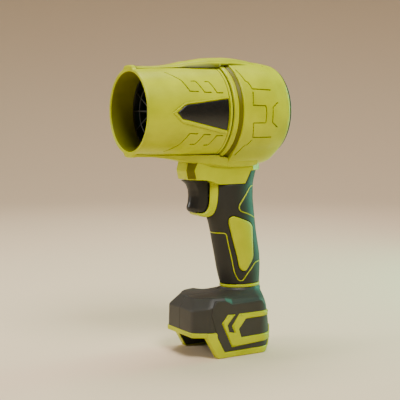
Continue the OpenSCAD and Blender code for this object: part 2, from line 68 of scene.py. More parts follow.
AXIS_Z = joint("fan_spin")["pos_m"][2] / MM
LIP_X = span("nozzle_tube")[1][0]
SPIGOT_X = span("nozzle_tube")[0][0]
SEAL_X = span("nozzle_seal")[1][0]
COLLAR_X = span("lock_collar")[1][0]
TRIM_X = span("trim_ring")[1][0]
HOUSING_X = span("motor_housing_left")[1][0]
REAR_X = span("motor_housing_left")[0][0]
GRILLE_X = span("intake_grille")[0][0]
ROOT_X = SEAL_X + 3
GUARD_X = (span("outlet_guard")[0][0] + span("outlet_guard")[1][0]) / 2
FOOT_TOP = span("grip_ring")[0][2]

# Radii of the nozzle's root, lip and bore, and of the bore of the rings behind it.
ROOT_R = 44.0
LIP_R = 39.7
BORE_R = 36.7
RING_BORE_R = 42.5

# Mean radii that lay a curved side out flat, so that an arc length stands for an angle.
NOZZLE_MEAN_R = 42
HOUSING_MEAN_R = 47.6
GRIP_MEAN_R = 20.8
NOZZLE_ARC = NOZZLE_MEAN_R * math.pi / 180
HOUSING_ARC = HOUSING_MEAN_R * math.pi / 180
GRIP_ARC = GRIP_MEAN_R * math.pi / 180

# The grip's oval where it meets the foot: middle and half axes.
NECK_X, NECK_A, NECK_B = -45.9, 20.8, 16.0

# Angles round the left half of the head, and round a whole turned piece.
PHI = np.radians(np.linspace(-90, 90, 121))
RING_SEGMENTS = 192


# ---- Outline tools ----

def fillet(points, radius, closed=False, steps=4):
    """Rounds the corners of a path in 2D or 3D; radius is one number or one for each point."""
    p = [np.array(q, float) for q in points]
    n = len(p)
    radii = [radius] * n if np.isscalar(radius) else list(radius)
    out = []
    for i in range(n):
        if (not closed and i in (0, n - 1)) or radii[i] <= 0:
            out.append(p[i])
            continue
        before = p[i - 1] - p[i]
        after = p[(i + 1) % n] - p[i]
        reach_before = np.linalg.norm(before)
        reach_after = np.linalg.norm(after)
        if min(reach_before, reach_after) < 1e-6:
            out += [p[i]] * (steps + 1)
            continue
        cut = min(radii[i], 0.45 * reach_before, 0.45 * reach_after)
        start = p[i] + before / reach_before * cut
        end = p[i] + after / reach_after * cut
        for k in range(steps + 1):
            t = k / steps
            out.append((1 - t) ** 2 * start + 2 * t * (1 - t) * p[i] + t * t * end)
    return np.array(out)


def resample(points, step, closed=False):
    """Adds points along a path so that none of its segments is longer than step."""
    p = np.asarray(points, float)
    ends = np.roll(p, -1, 0) if closed else p[1:]
    out = []
    for a, b in zip(p if closed else p[:-1], ends):
        count = max(1, math.ceil(np.linalg.norm(b - a) / step))
        out += [a + (b - a) * k / count for k in range(count)]
    if not closed:
        out.append(p[-1])
    return np.array(out)


def normals_2d(p, closed):
    if closed:
        d = np.roll(p, -1, 0) - np.roll(p, 1, 0)
    else:
        d = np.gradient(p, axis=0)
    d /= np.maximum(np.linalg.norm(d, axis=1), 1e-9)[:, None]
    return np.stack([-d[:, 1], d[:, 0]], 1)


def counter_clockwise(loop):
    x, y = loop[:, 0], loop[:, 1]
    area = np.sum(x * np.roll(y, -1) - np.roll(x, -1) * y)
    return loop if area > 0 else loop[::-1]


def inset(loop, amount):
    """A closed loop moved inwards, or outwards where amount is negative."""
    loop = counter_clockwise(np.asarray(loop, float))
    edge = np.roll(loop, -1, 0) - loop
    edge /= np.maximum(np.linalg.norm(edge, axis=1), 1e-9)[:, None]
    inward = np.stack([-edge[:, 1], edge[:, 0]], 1)
    mitre = inward + np.roll(inward, 1, 0)
    mitre /= np.maximum(np.sum(mitre * mitre, 1), 0.4)[:, None]
    return loop + 2 * mitre * amount


def band(path, half):
    """The closed outline of a line of that half width, with round ends."""
    p = np.asarray(path, float)
    side = normals_2d(p, False) * half
    first = p[0] - p[1]
    last = p[-1] - p[-2]
    first *= half / np.linalg.norm(first)
    last *= half / np.linalg.norm(last)
    end_cap = [p[-1] + last * 0.7 + side[-1] * 0.7, p[-1] + last, p[-1] + last * 0.7 - side[-1] * 0.7]
    start_cap = [p[0] + first * 0.7 - side[0] * 0.7, p[0] + first, p[0] + first * 0.7 + side[0] * 0.7]
    return np.array(list(p + side) + end_cap + list((p - side)[::-1]) + start_cap)


def inside(points, loop):
    x, y = points[:, 0], points[:, 1]
    result = np.zeros(len(points), bool)
    for a, b in zip(loop, np.roll(loop, -1, 0)):
        if a[1] == b[1]:
            continue
        crosses = (a[1] > y) != (b[1] > y)
        result ^= crosses & (x < (b[0] - a[0]) * (y - a[1]) / (b[1] - a[1]) + a[0])
    return result


def clearance(points, loop, closed=True):
    best = np.full(len(points), 1e9)
    ends = np.roll(loop, -1, 0) if closed else loop[1:]
    for a, b in zip(loop, ends):
        d = b - a
        t = np.clip(((points - a) @ d) / max(d @ d, 1e-12), 0, 1)
        best = np.minimum(best, np.linalg.norm(points - a - t[:, None] * d, axis=1))
    return best


def smooth_table(stations, values, window=9.0):
    """A function that runs smoothly through a table."""
    grid = np.arange(stations[0], stations[-1] + 0.25, 0.5)
    line = np.interp(grid, stations, values)
    width = int(window)
    kernel = np.hanning(2 * width + 1)
    kernel /= kernel.sum()
    first = 2 * line[0] - line[width:0:-1]
    last = 2 * line[-1] - line[-2:-width - 2:-1]
    line = np.convolve(np.concatenate([first, line, last]), kernel, "valid")
    return lambda s: np.interp(s, grid, line)


# ---- Mesh tools ----

class Shape:
    """Vertices in millimetres and faces, gathered from several surfaces."""

    def __init__(self):
        self.verts = []
        self.faces = []
        self.looks = []

    def add(self, verts, faces, look=0):
        start = len(self.verts)
        self.verts += [tuple(v) for v in np.asarray(verts, float)]
        self.faces += [tuple(start + int(i) for i in f) for f in faces]
        self.looks += [look] * len(faces)
        return self

    def join(self, other):
        start = len(self.verts)
        self.verts += other.verts
        self.faces += [tuple(start + i for i in f) for f in other.faces]
        self.looks += other.looks
        return self

    def mirrored(self):
        other = Shape()
        other.verts = [(x, -y, z) for x, y, z in self.verts]
        other.faces = [f[::-1] for f in self.faces]
        other.looks = list(self.looks)
        return other

    def both(self):
        """The shape and its mirror image, for a piece that spans the middle plane."""
        return Shape().join(self).join(self.mirrored())


def grid_faces(rows, cols, wrap_rows=False, wrap_cols=False):
    faces = []
    for i in range(rows if wrap_rows else rows - 1):
        for j in range(cols if wrap_cols else cols - 1):
            a, b = i * cols + j, i * cols + (j + 1) % cols
            c, d = ((i + 1) % rows) * cols + (j + 1) % cols, ((i + 1) % rows) * cols + j
            faces.append((a, b, c, d))
    return faces


def surface(rows, wrap_rows=False, wrap_cols=False):
    """Quads over a grid of points, as (vertices, faces)."""
    rows = np.asarray(rows, float)
    return rows.reshape(-1, 3), grid_faces(rows.shape[0], rows.shape[1], wrap_rows, wrap_cols)


def on_head(x, phi, r):
    """Points round the fan axis: phi runs from +Y towards +Z."""
    x, phi, r = np.broadcast_arrays(np.asarray(x, float), phi, r)
    return np.stack([x, r * np.cos(phi), AXIS_Z + r * np.sin(phi)], -1)


def ring_rows(profile, phi=PHI):
    return np.array([on_head(np.full(len(phi), x), phi, r) for x, r in profile])


def revolve(profile, segments=RING_SEGMENTS, closed=True):
    """A closed profile of (station, radius) turned round the fan axis."""
    phi = np.linspace(0, 2 * np.pi, segments, endpoint=False)
    return surface(ring_rows(profile, phi), closed, True)


# Width of the eased edge along a skin's two long sides.
EDGE_EASE = 0.35


def relief(features, place, steps, u=None, v=None, outline=None, edge_drop=0.0, base=None):
    """A skin over a rectangle or an outline of (u, v), with features pressed in or raised.

    A feature is (loop, level, fill): its loop lies at that level, and fill is the level
    inside it, or None where the next loop lies close. With a base level it is a closed solid.
    """
    points, levels, loops = [], [], []

    def add_loop(loop, level, closed=True):
        start = len(points)
        points.extend(np.asarray(loop, float))
        levels.extend([level] * len(loop) if np.isscalar(level) else level)
        count = len(loop)
        loops.extend((start + i, start + (i + 1) % count) for i in range(count if closed else count - 1))

    if outline is not None:
        outline = counter_clockwise(np.asarray(outline, float))
        u = (outline[:, 0].min(), outline[:, 0].max())
        v = (outline[:, 1].min(), outline[:, 1].max())
    nu = max(2, round((u[1] - u[0]) / steps[0]))
    nv = max(2, round((v[1] - v[0]) / steps[1]))
    us, vs = np.linspace(u[0], u[1], nu + 1), np.linspace(v[0], v[1], nv + 1)
    uu, vv = np.meshgrid(us[1:-1], vs[1:-1], indexing="ij")
    field = np.stack([uu.ravel(), vv.ravel()], 1)
    keep = np.ones(len(field), bool)
    lift = np.zeros(len(field))
    if outline is None:
        low = [(a, v[0]) for a in us]
        high = [(a, v[1]) for a in us[::-1]]
        border = low + [(u[1], b) for b in vs[1:-1]] + high + [(u[0], b) for b in vs[-2:0:-1]]
        add_loop(border, [edge_drop if b in (v[0], v[1]) else 0.0 for _, b in border])
        if edge_drop:
            extra = np.array([(a, b) for a in us[1:-1] for b in (v[0] + EDGE_EASE, v[1] - EDGE_EASE)])
            field = np.concatenate([field, extra])
            keep = np.ones(len(field), bool)
            lift = np.zeros(len(field))
    else:
        add_loop(outline, edge_drop)
        keep &= inside(field, outline) & (clearance(field, outline) > 0.35 * min(steps))
    for loop, level, fill in features:
        loop = counter_clockwise(np.asarray(loop, float))
        add_loop(loop, level)
        near = clearance(field, loop) < 0.3 * min(steps)
        within = inside(field, loop)
        keep &= ~near
        if fill is None:
            keep &= ~within
        else:
            keep |= within & ~near
            lift[within] = fill
    points = np.concatenate([np.array(points), field[keep]])
    levels = np.concatenate([np.array(levels, float), lift[keep]])
    flat, _, faces, origin, _, _ = delaunay_2d_cdt([Vector(p) for p in points], loops, [], 0, 1e-5)
    flat = np.array([tuple(p) for p in flat])
    height = np.array([levels[o[0]] if o else 0.0 for o in origin])
    faces = [tuple(f) for f in faces if len(f) >= 3]
    if outline is not None:
        centres = np.array([flat[list(f)].mean(0) for f in faces])
        inner = inside(centres, outline)
        faces = [f for f, ok in zip(faces, inner) if ok]
    top = place(flat[:, 0], flat[:, 1], height)
    shape = Shape().add(top, faces)
    if base is not None:
        bottom = place(flat[:, 0], flat[:, 1], np.full(len(flat), base))
        shape.add(bottom, [f[::-1] for f in faces])
        sides = dict.fromkeys(side for f in faces for side in zip(f, f[1:] + f[:1]))
        edge = [(a, b) for a, b in sides if (b, a) not in sides]
        walls = [(b, a, a + len(flat), b + len(flat)) for a, b in edge]
        shape.faces += walls
        shape.looks += [0] * len(walls)
    return shape


def round_rows(cage, radii, steps):
    """A cage of rows of points, with the corners of each row rounded."""
    return np.array([fillet(row, radii, steps=steps) for row in cage])


def round_columns(cage, radii, steps):
    return round_rows(cage.transpose(1, 0, 2), radii, steps).transpose(1, 0, 2)


def piece(name, shape, looks, *replaced, body="shell", sharp=38, slot=None):
    """Makes the object, gives it its materials and hangs it on its CAD body."""
    mesh = bpy.data.meshes.new(name)
    mesh.from_pydata([tuple(c * MM for c in v) for v in shape.verts], [], shape.faces)
    mesh.polygons.foreach_set("material_index", shape.looks)
    bm = bmesh.new()
    bm.from_mesh(mesh)
    bmesh.ops.remove_doubles(bm, verts=bm.verts, dist=2e-6)
    bmesh.ops.dissolve_degenerate(bm, dist=1e-6, edges=bm.edges)
    gaps = [e for e in bm.edges if len(e.link_faces) == 1]
    if gaps:
        bmesh.ops.holes_fill(bm, edges=gaps, sides=0)
    loose = [v for v in bm.verts if not v.link_faces]
    bmesh.ops.delete(bm, geom=loose, context="VERTS")
    bmesh.ops.recalc_face_normals(bm, faces=bm.faces)
    bm.to_mesh(mesh)
    bm.free()
    mesh.shade_smooth()
    mesh.set_sharp_from_angle(angle=math.radians(sharp))
    obj = bpy.data.objects.new(name, mesh)
    scene.collection.objects.link(obj)
    looks = [looks] if isinstance(looks, str) else looks
    for look in looks:
        mesh.materials.append(LOOKS[look])
    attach(obj, body)
    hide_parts(*replaced)


# ---- Materials ----

LOOKS = {}


def shader(name):
    """Makes the material of a look, and gives its node tree and its shader."""
    LOOKS[name] = bpy.data.materials.new(name)
    LOOKS[name].use_nodes = True
    tree = LOOKS[name].node_tree
    return tree, tree.nodes["Principled BSDF"]


def node(tree, kind, **settings):
    made = tree.nodes.new(kind)
    for key, value in settings.items():
        setattr(made, key, value)
    return made


def noise(tree, coords, scale, detail=2.0, rough=0.5):
    made = node(tree, "ShaderNodeTexNoise")
    made.inputs["Scale"].default_value = scale
    made.inputs["Detail"].default_value = detail
    made.inputs["Roughness"].default_value = rough
    tree.links.new(coords, made.inputs["Vector"])
    return made.outputs["Fac"]


def remap(tree, value, low, high, to_low, to_high):
    made = node(tree, "ShaderNodeMapRange", clamp=True)
    for key, number in (("From Min", low), ("From Max", high), ("To Min", to_low), ("To Max", to_high)):
        made.inputs[key].default_value = number
    tree.links.new(value, made.inputs["Value"])
    return made.outputs["Result"]


def blend_colour(tree, factor, first, second):
    made = node(tree, "ShaderNodeMix", data_type="RGBA")
    tree.links.new(factor, made.inputs["Factor"])
    for index, colour in ((6, first), (7, second)):
        if isinstance(colour, tuple):
            made.inputs[index].default_value = (*colour, 1)
        else:
            tree.links.new(colour, made.inputs[index])
    return made.outputs[2]


def moulded(name, colour, rough, grain, depth, wear=0.0, worn=None, coat=0.0, specular=0.5, groove_shade=0.0):
    """Moulded plastic: fine grain, faint blotches, paler rubbed edges, and painted shade that darkens its grooves
    and creases.
    """
    tree, bsdf = shader(name)
    coords = node(tree, "ShaderNodeTexCoord").outputs["Object"]
    blotch = noise(tree, coords, 38.0, 3.0)
    fine = noise(tree, coords, grain, 2.0)
    speck = noise(tree, coords, grain * 0.31, 2.0)
    dark = tuple(c * 0.86 for c in colour)
    light = tuple(min(1.0, c * 1.10) for c in colour)
    tone = blend_colour(tree, remap(tree, blotch, 0.32, 0.68, 0, 1), dark, light)
    tone = blend_colour(tree, remap(tree, speck, 0.52, 0.75, 0, 0.22), tone, light)
    if wear:
        edge = node(tree, "ShaderNodeNewGeometry").outputs["Pointiness"]
        edge = remap(tree, edge, 0.54, 0.62, 0, wear)
        scratch = remap(tree, noise(tree, coords, 620.0, 4.0), 0.35, 0.6, 0.25, 1)
        both = node(tree, "ShaderNodeMath", operation="MULTIPLY")
        tree.links.new(edge, both.inputs[0])
        tree.links.new(scratch, both.inputs[1])
        tone = blend_colour(tree, both.outputs[0], tone, worn or light)
    if groove_shade:
        # Painted shade: concave places are blended towards a near-black copy of the colour, standing in for the
        # shade in grooves.
        painted_groove_shade = node(tree, "ShaderNodeNewGeometry").outputs["Pointiness"]
        painted_groove_shade = remap(tree, painted_groove_shade, 0.43, 0.492, groove_shade, 0)
        tone = blend_colour(tree, painted_groove_shade, tone, tuple(c * 0.12 for c in colour))
    tree.links.new(tone, bsdf.inputs["Base Color"])
    spread = remap(tree, fine, 0.3, 0.7, rough - 0.06, rough + 0.07)
    tree.links.new(spread, bsdf.inputs["Roughness"])
    bump = node(tree, "ShaderNodeBump")
    bump.inputs["Strength"].default_value = 0.5
    bump.inputs["Distance"].default_value = depth
    tree.links.new(fine, bump.inputs["Height"])
    tree.links.new(bump.outputs["Normal"], bsdf.inputs["Normal"])
    bsdf.inputs["Coat Weight"].default_value = coat
    bsdf.inputs["Coat Roughness"].default_value = 0.35
    bsdf.inputs["Specular IOR Level"].default_value = specular


def metal(name, colour, rough, stretch=(1.0, 1.0, 1.0)):
    """Turned or brushed metal: fine lines along one direction and uneven gloss."""
    tree, bsdf = shader(name)
    coords = node(tree, "ShaderNodeTexCoord").outputs["Object"]
    mapping = node(tree, "ShaderNodeMapping")
    mapping.inputs["Scale"].default_value = stretch
    tree.links.new(coords, mapping.inputs["Vector"])
    lines = noise(tree, mapping.outputs["Vector"], 900.0, 3.0)
    stain = noise(tree, coords, 160.0, 3.0)
    dark = tuple(c * 0.72 for c in colour)
    tone = blend_colour(tree, remap(tree, stain, 0.35, 0.65, 0, 1), dark, colour)
    tree.links.new(tone, bsdf.inputs["Base Color"])
    tree.links.new(remap(tree, lines, 0.3, 0.7, rough - 0.1, rough + 0.12), bsdf.inputs["Roughness"])
    bump = node(tree, "ShaderNodeBump")
    bump.inputs["Strength"].default_value = 0.35
    bump.inputs["Distance"].default_value = 0.00004
    tree.links.new(lines, bump.inputs["Height"])
    tree.links.new(bump.outputs["Normal"], bsdf.inputs["Normal"])
    bsdf.inputs["Metallic"].default_value = 1.0


def board_look(name):
    """Green solder mask with pale tracks."""
    tree, bsdf = shader(name)
    coords = node(tree, "ShaderNodeTexCoord").outputs["Object"]
    cells = node(tree, "ShaderNodeTexVoronoi", feature="DISTANCE_TO_EDGE")
    cells.inputs["Scale"].default_value = 320.0
    tree.links.new(coords, cells.inputs["Vector"])
    track = remap(tree, cells.outputs["Distance"], 0.03, 0.06, 1, 0)
    tone = blend_colour(tree, track, (0.012, 0.09, 0.035), (0.04, 0.2, 0.07))
    tree.links.new(tone, bsdf.inputs["Base Color"])
    tree.links.new(remap(tree, track, 0, 1, 0.3, 0.45), bsdf.inputs["Roughness"])


# Name, colour, roughness, scale of the grain and its depth in metres; then edge wear and its colour.
# The lime plastic's last setting paints shade into its grooves.
moulded("lime_plastic", (0.495, 0.55, 0.0), 0.34, 2600.0, 0.00006, 0.2, (0.7, 0.72, 0.1),
        specular=0.22, groove_shade=0.9)
# Painted shade: a dark copy of the lime for the inside of the nozzle, standing in for the shade down its bore.
moulded("lime_bore_painted_shade", (0.19, 0.195, 0.0), 0.5, 2600.0, 0.00006, specular=0.2)
# Painted shade: olive is a darker copy of the lime, for bands and facets that face forward, away from the light.
moulded("olive_trim", (0.13, 0.125, 0.0), 0.45, 2600.0, 0.00005, 0.2, (0.25, 0.24, 0.02), specular=0.2)
moulded("charcoal_grip", (0.017, 0.0165, 0.013), 0.55, 2100.0, 0.0001, 0.3, (0.07, 0.066, 0.058),
        specular=0.42)
moulded("charcoal_shell", (0.033, 0.032, 0.027), 0.5, 2100.0, 0.0001, 0.3, (0.08, 0.077, 0.07), specular=0.45)
moulded("black_plastic", (0.012, 0.012, 0.012), 0.5, 1900.0, 0.00006, 0.3, (0.05, 0.05, 0.05))
moulded("black_insert", (0.008, 0.0088, 0.008), 0.28, 2400.0, 0.00002, 0.3, (0.06, 0.06, 0.055), 0.1)
moulded("seal_rubber", (0.009, 0.009, 0.009), 0.72, 1500.0, 0.00006)
moulded("trigger_plastic", (0.0085, 0.0085, 0.008), 0.34, 2300.0, 0.00003, 0.3, (0.07, 0.065, 0.06))
moulded("fan_plastic", (0.022, 0.022, 0.022), 0.42, 1700.0, 0.00004, 0.3, (0.07, 0.07, 0.07))
metal("motor_metal", (0.55, 0.55, 0.57), 0.34, (0.08, 1.0, 1.0))
metal("steel", (0.46, 0.46, 0.47), 0.36)
metal("brass", (0.62, 0.44, 0.17), 0.32, (0.1, 1.0, 1.0))
board_look("board")
moulded("wire", (0.33, 0.02, 0.015), 0.4, 1500.0, 0.00003)


# ---- Nozzle ----

def nozzle_r(x):
    return ROOT_R - (x - ROOT_X) * (ROOT_R - LIP_R) / (LIP_X - ROOT_X)


def on_nozzle(x, arc, level):
    return on_head(x, arc / NOZZLE_MEAN_R, nozzle_r(x) + level)


def head_line(points, arc, corner=0.8, step=1.1):
    """A line of (station, degrees) laid out flat, with its corners eased."""
    flat = [(x, degrees * arc) for x, degrees in points]
    return resample(fillet(flat, corner), step)


def groove(path, half=0.62, depth=1.0):
    return [(band(path, half), 0.0, None), (band(path, half * 0.62), -depth, None)]


NOZZLE_LINES = [
    [(49.8, 60.0), (38.4, 43.0), (33.2, 26.2), (24.6, 25.6)],
    [(28.5, 41.3), (24.3, 41.0), (18.3, 24.4), (11.7, 24.2)],
    [(14.8, 39.8), (10.7, 39.4), (5.7, 23.6), (-0.4, 23.2)],
    [(49.8, -62.5), (39.1, -45.5), (33.3, -28.2), (24.6, -28.4)],
    [(28.5, -45.0), (23.8, -45.2), (18.1, -29.2), (11.5, -29.4)],
    [(13.8, -46.0), (9.7, -46.0), (4.6, -30.8), (-1.6, -30.6)],
]
BEZEL = [(-5.7, 17.4), (38.5, 11.2), (41.6, 9.6), (52.7, -1.4), (41.9, -14.0), (-5.7, -28.0)]
ARROW = [(-5.3, 15.6), (37.2, 8.9), (40.6, 7.0), (47.6, -1.2), (42.3, -9.2), (39.0, -10.0), (-5.3, -23.6)]
LIP_FRONT = LIP_X - 3.6


def arrow_loops():
    bezel = resample([(x, a * NOZZLE_ARC) for x, a in BEZEL], 1.2, True)
    arrow = resample([(x, a * NOZZLE_ARC) for x, a in ARROW], 1.2, True)
    return bezel, arrow


def lip_tab(phi):
    """Extra radius of the lip's top and bottom tabs."""
    arc = np.abs(np.pi / 2 - np.abs(phi)) * LIP_R
    return 2.7 * np.clip(1 - (arc - 7.2) / 4.6, 0, 1) ** 2 * (arc > 7.2) + 2.7 * (arc <= 7.2)


def nozzle_tube():
    bezel, arrow = arrow_loops()
    features = [
        (bezel, 0.0, None),
        (inset(bezel, 0.4), 0.6, 0.6),
        (inset(arrow, -0.15), -0.45, None),
        (inset(arrow, 0.05), -1.2, -1.2),
    ]
    for line in NOZZLE_LINES:
        features += groove(head_line(line, NOZZLE_ARC))
    edge = 90 * NOZZLE_ARC
    outer = relief(features, on_nozzle, (1.5, 1.5 * NOZZLE_ARC), (ROOT_X, LIP_FRONT), (-edge, edge))
    tab = lip_tab(PHI)
    front = nozzle_r(LIP_X - 1.0)
    profile = [
        (LIP_FRONT, nozzle_r(LIP_FRONT)), (LIP_FRONT + 0.1, nozzle_r(LIP_FRONT) + tab * 0.98),
        (LIP_X - 1.4, front + tab), (LIP_X - 0.6, front - 0.1 + tab), (LIP_X - 0.2, front - 0.4 + tab),
        (LIP_X, front - 0.9 + tab), (LIP_X, BORE_R + 1.0), (LIP_X - 0.15, BORE_R + 0.5),
        (LIP_X - 0.5, BORE_R + 0.15), (LIP_X - 1.1, BORE_R), (GUARD_X + 2.2, BORE_R), (20, BORE_R + 0.9),
        (ROOT_X, 40.2), (SPIGOT_X, 40.2), (SPIGOT_X, 42.4), (SEAL_X, 42.4), (SEAL_X, 43.9),
        (SEAL_X + 0.35, 44.3), (ROOT_X - 0.95, 44.3), (ROOT_X - 0.6, 44.0), (ROOT_X - 0.6, 43.1),
        (ROOT_X, 43.1), (ROOT_X, ROOT_R),
    ]
    lip_end, guard_end = 9, 12
    shell = Shape().join(outer).add(*surface(ring_rows(profile[:lip_end + 1])))
    # The bore from the lip to the guard takes the dark lime copy, as painted shade.
    shell.add(*surface(ring_rows(profile[lip_end:lip_end + 2])), 2)
    shell.add(*surface(ring_rows(profile[lip_end + 1:guard_end + 1])), 1)
    shell.add(*surface(ring_rows(profile[guard_end:])))
    looks = ["lime_plastic", "black_plastic", "lime_bore_painted_shade"]
    piece("nozzle_moulding", shell.both(), looks, "nozzle_tube")


def nozzle_inserts():
    arrow = inset(arrow_loops()[1], 0.08)
    features = [(inset(arrow, 0.12), -0.35, None), (inset(arrow, 0.5), -0.15, -0.1)]
    left = relief(features, on_nozzle, (1.8, 1.1), outline=arrow, edge_drop=-0.6, base=-1.15)
    piece("nozzle_inlay_left", left, "black_insert", "nozzle_insert_left")
    piece("nozzle_inlay_right", left.mirrored(), "black_insert", "nozzle_insert_right")


def turned_ring(name, profile, radii, look, replaced):
    piece(name, Shape().add(*revolve(fillet(profile, radii, True))), look, replaced)


def rings():
    bore = RING_BORE_R
    seal = [(COLLAR_X, bore), (SEAL_X, bore), (SEAL_X, 43.2), (COLLAR_X, 43.2)]
    turned_ring("seal_ring", seal, 0.15, "seal_rubber", "nozzle_seal")
    collar = [
        (TRIM_X, bore), (COLLAR_X, bore), (COLLAR_X, 45.1), (COLLAR_X - 1.0, 45.75),
        (COLLAR_X - 2.6, 46.0), (TRIM_X + 0.9, 45.9), (TRIM_X, 45.5),
    ]
    turned_ring("collar_ring", collar, [0.1, 0.1, 0.5, 0.6, 0.8, 0.6, 0.3], "lime_plastic", "lock_collar")
    # The trim band is olive: painted shade on its forward-facing face.
    trim = [
        (HOUSING_X, bore), (TRIM_X, bore), (TRIM_X, 45.2), (TRIM_X - 0.5, 45.7),
        (HOUSING_X + 0.5, 46.5), (HOUSING_X, 46.4),
    ]
    turned_ring("trim_band", trim, [0.1, 0.1, 0.3, 0.4, 0.4, 0.2], "olive_trim", "trim_ring")


def spokes(count, r0, r1, x0, x1, half, twist=0.0):
    """Spokes of rounded section round the fan axis."""
    shape = Shape()
    section = fillet([(x0, -half), (x1, -half), (x1, half), (x0, half)], 0.45 * half, True, 3)
    stations = np.linspace(0, 1, 9)
    for k in range(count):
        rows = []
        for s in stations:
            r = r0 + (r1 - r0) * s
            angle = 2 * np.pi * k / count + twist * s * s
            c, d = math.cos(angle), math.sin(angle)
            rows.append([(x, r * c - y * d, AXIS_Z + r * d + y * c) for x, y in section])
        shape.add(*surface(rows, False, True))
    return shape


def outlet_guard():
    x0, x1 = GUARD_X - 2, GUARD_X + 2
    shape = spokes(12, 9.5, BORE_R - 0.6, x0 + 0.6, x1 - 0.4, 0.75)
    ring = [(x0, BORE_R + 0.6), (x1, BORE_R + 0.6), (x1, BORE_R - 1.7), (x0, BORE_R - 1.7)]
    shape.add(*revolve(fillet(ring, 0.4, True)))
    middle = [(x0 + 0.4, 25), (x1 - 0.3, 25), (x1 - 0.3, 23.4), (x0 + 0.4, 23.4)]
    shape.add(*revolve(fillet(middle, 0.35, True)))
    hub = fillet([(x0 + 0.4, 0.01), (x0 + 0.4, 11), (x1 - 0.8, 11), (x1, 8.5), (x1 + 0.6, 0.01)], 0.8)
    shape.add(*revolve(hub, closed=False))
    piece("guard_spokes", shape, "black_plastic", "outlet_guard")


# ---- Motor housing ----

barrel = smooth_table([-74.3, -70, -66, -60, -56, -46, -36, -26, -19.2],
                      [44.4, 45.3, 45.95, 46.75, 47.3, 47.75, 47.9, 47.85, 47.75], 5)
keel = smooth_table([-74.3, -72.5, -70, -66, -61, -52, -46, -28, -19.2],
                    [44.5, 47.2, 49.6, 51.2, 52.2, 52.7, 53.0, 53.0, 52.6], 5)


def housing_r(x, phi):
    """The housing's radius: a barrel that swells into a keel along its bottom."""
    away = np.degrees(np.abs(phi + np.pi / 2))
    fade = 0.5 + 0.5 * np.cos(np.pi * np.clip((away - 13) / 31, 0, 1))
    return barrel(x) + np.maximum(keel(x) - barrel(x), 0) * fade


def on_housing(x, arc, level):
    phi = arc / HOUSING_MEAN_R
    return on_head(x, phi, housing_r(x, phi) + level)


HOUSING_LINES = [
    [(-22.0, 54.4), (-26.2, 36.0), (-28.6, 34.8), (-31.0, 26.0), (-51.5, 25.0)],
    [(-31.0, 22.0), (-29.2, 7.0), (-43.4, 6.4), (-44.2, 3.0), (-44.2, -13.0), (-30.0, -13.0), (-33.0, -30.6),
     (-54.0, -31.0)],
    [(-32.8, -34.5), (-30.0, -41.5)],
    [(-27.8, -41.5), (-22.5, -57.0)],
    [(-57.8, 10.0), (-51.8, 4.4), (-52.0, -12.4), (-58.4, -18.4)],
]


# The halves dip a little at the seam between them.
SEAM_DROP = -0.22


def motor_housing():
    features = []
    for line in HOUSING_LINES:
        features += groove(head_line(line, HOUSING_ARC), 0.66, 1.0)
    edge = 90 * HOUSING_ARC
    front, rear = HOUSING_X - 0.7, REAR_X + 1.2
    outer = relief(features, on_housing, (1.5, 1.5 * HOUSING_ARC), (rear, front), (-edge, edge),
                   edge_drop=SEAM_DROP)
    drop = np.where(np.abs(np.abs(np.degrees(PHI)) - 90) < 0.1, SEAM_DROP, 0.0)
    face = housing_r(HOUSING_X, PHI) + drop
    back = housing_r(REAR_X, PHI) + drop
    profile = [
        (front, housing_r(front, PHI) + drop), (front + 0.45, face - 0.15), (HOUSING_X, face - 0.6),
        (HOUSING_X, 45.6), (HOUSING_X, 42.6), (HOUSING_X - 2.4, 42.6), (HOUSING_X - 2.4, 44.3), (-67, 44.3),
        (-70, 42.2), (REAR_X + 2.4, 42.2), (REAR_X + 2.4, 40.1), (REAR_X, 40.1), (REAR_X, back - 0.9),
        (REAR_X + 0.25, back - 0.35), (rear, housing_r(rear, PHI) + drop),
    ]
    left = Shape().join(outer).add(*surface(ring_rows(profile)))
    piece("housing_half_left", left, "lime_plastic", "motor_housing_left")
    piece("housing_half_right", left.mirrored(), "lime_plastic", "motor_housing_right")


# ---- Spines ----

# Against the station: half the spines' width, their crests' height and their seat's radius.
SPINE_HALF = smooth_table([-60, -51, -35, -19, -4, 10, 27, 50, 60, 76.3],
                          [19.2, 20, 20.5, 20.5, 20, 17.5, 14, 10.5, 9, 8.5], 7)
TOP_CREST = smooth_table(
    [-62, -57.2, -45.5, -33.9, -22.5, -11.2, 0, 11, 21.9, 32.7, 43.4, 53.9, 72.5, 76.3],
    [44.9, 46.5, 49.1, 50.6, 51.2, 50.7, 50, 48.3, 46.7, 44.2, 42.6, 41.7, 41.7, 41.7], 7)
BOTTOM_CREST = smooth_table(
    [-62, -56, -46, -28.5, -19.2, -10, 0, 11, 22.1, 38.4, 54, 72, 76.3],
    [51.6, 53.0, 54.1, 54.3, 53.8, 53.2, 51.9, 50.2, 47.8, 44.5, 42.4, 41.8, 41.7], 7)
SEAT_AT = [-62, -19.3, -15.2, -10.2, -9.4, -6.0, 40, 76.3]
SEAT_R = [47.0, 47.6, 46.2, 46.2, 44.6, 44.3, nozzle_r(40) + 0.12, nozzle_r(76.3) + 0.12]

# The spines stand a little clear of the nozzle and of the rings that they bridge.
UNDERCUT_AT = [-60, -19.4, -19.0, -4, 15, 35, 76.3]
UNDERCUT = [0.1, 0.1, 2.6, 2.6, 1.8, 1.1, 0.5]
UNDERCUT_LIFT = [0.0, 0.0, 1.6, 1.6, 1.0, 0.7, 0.3]


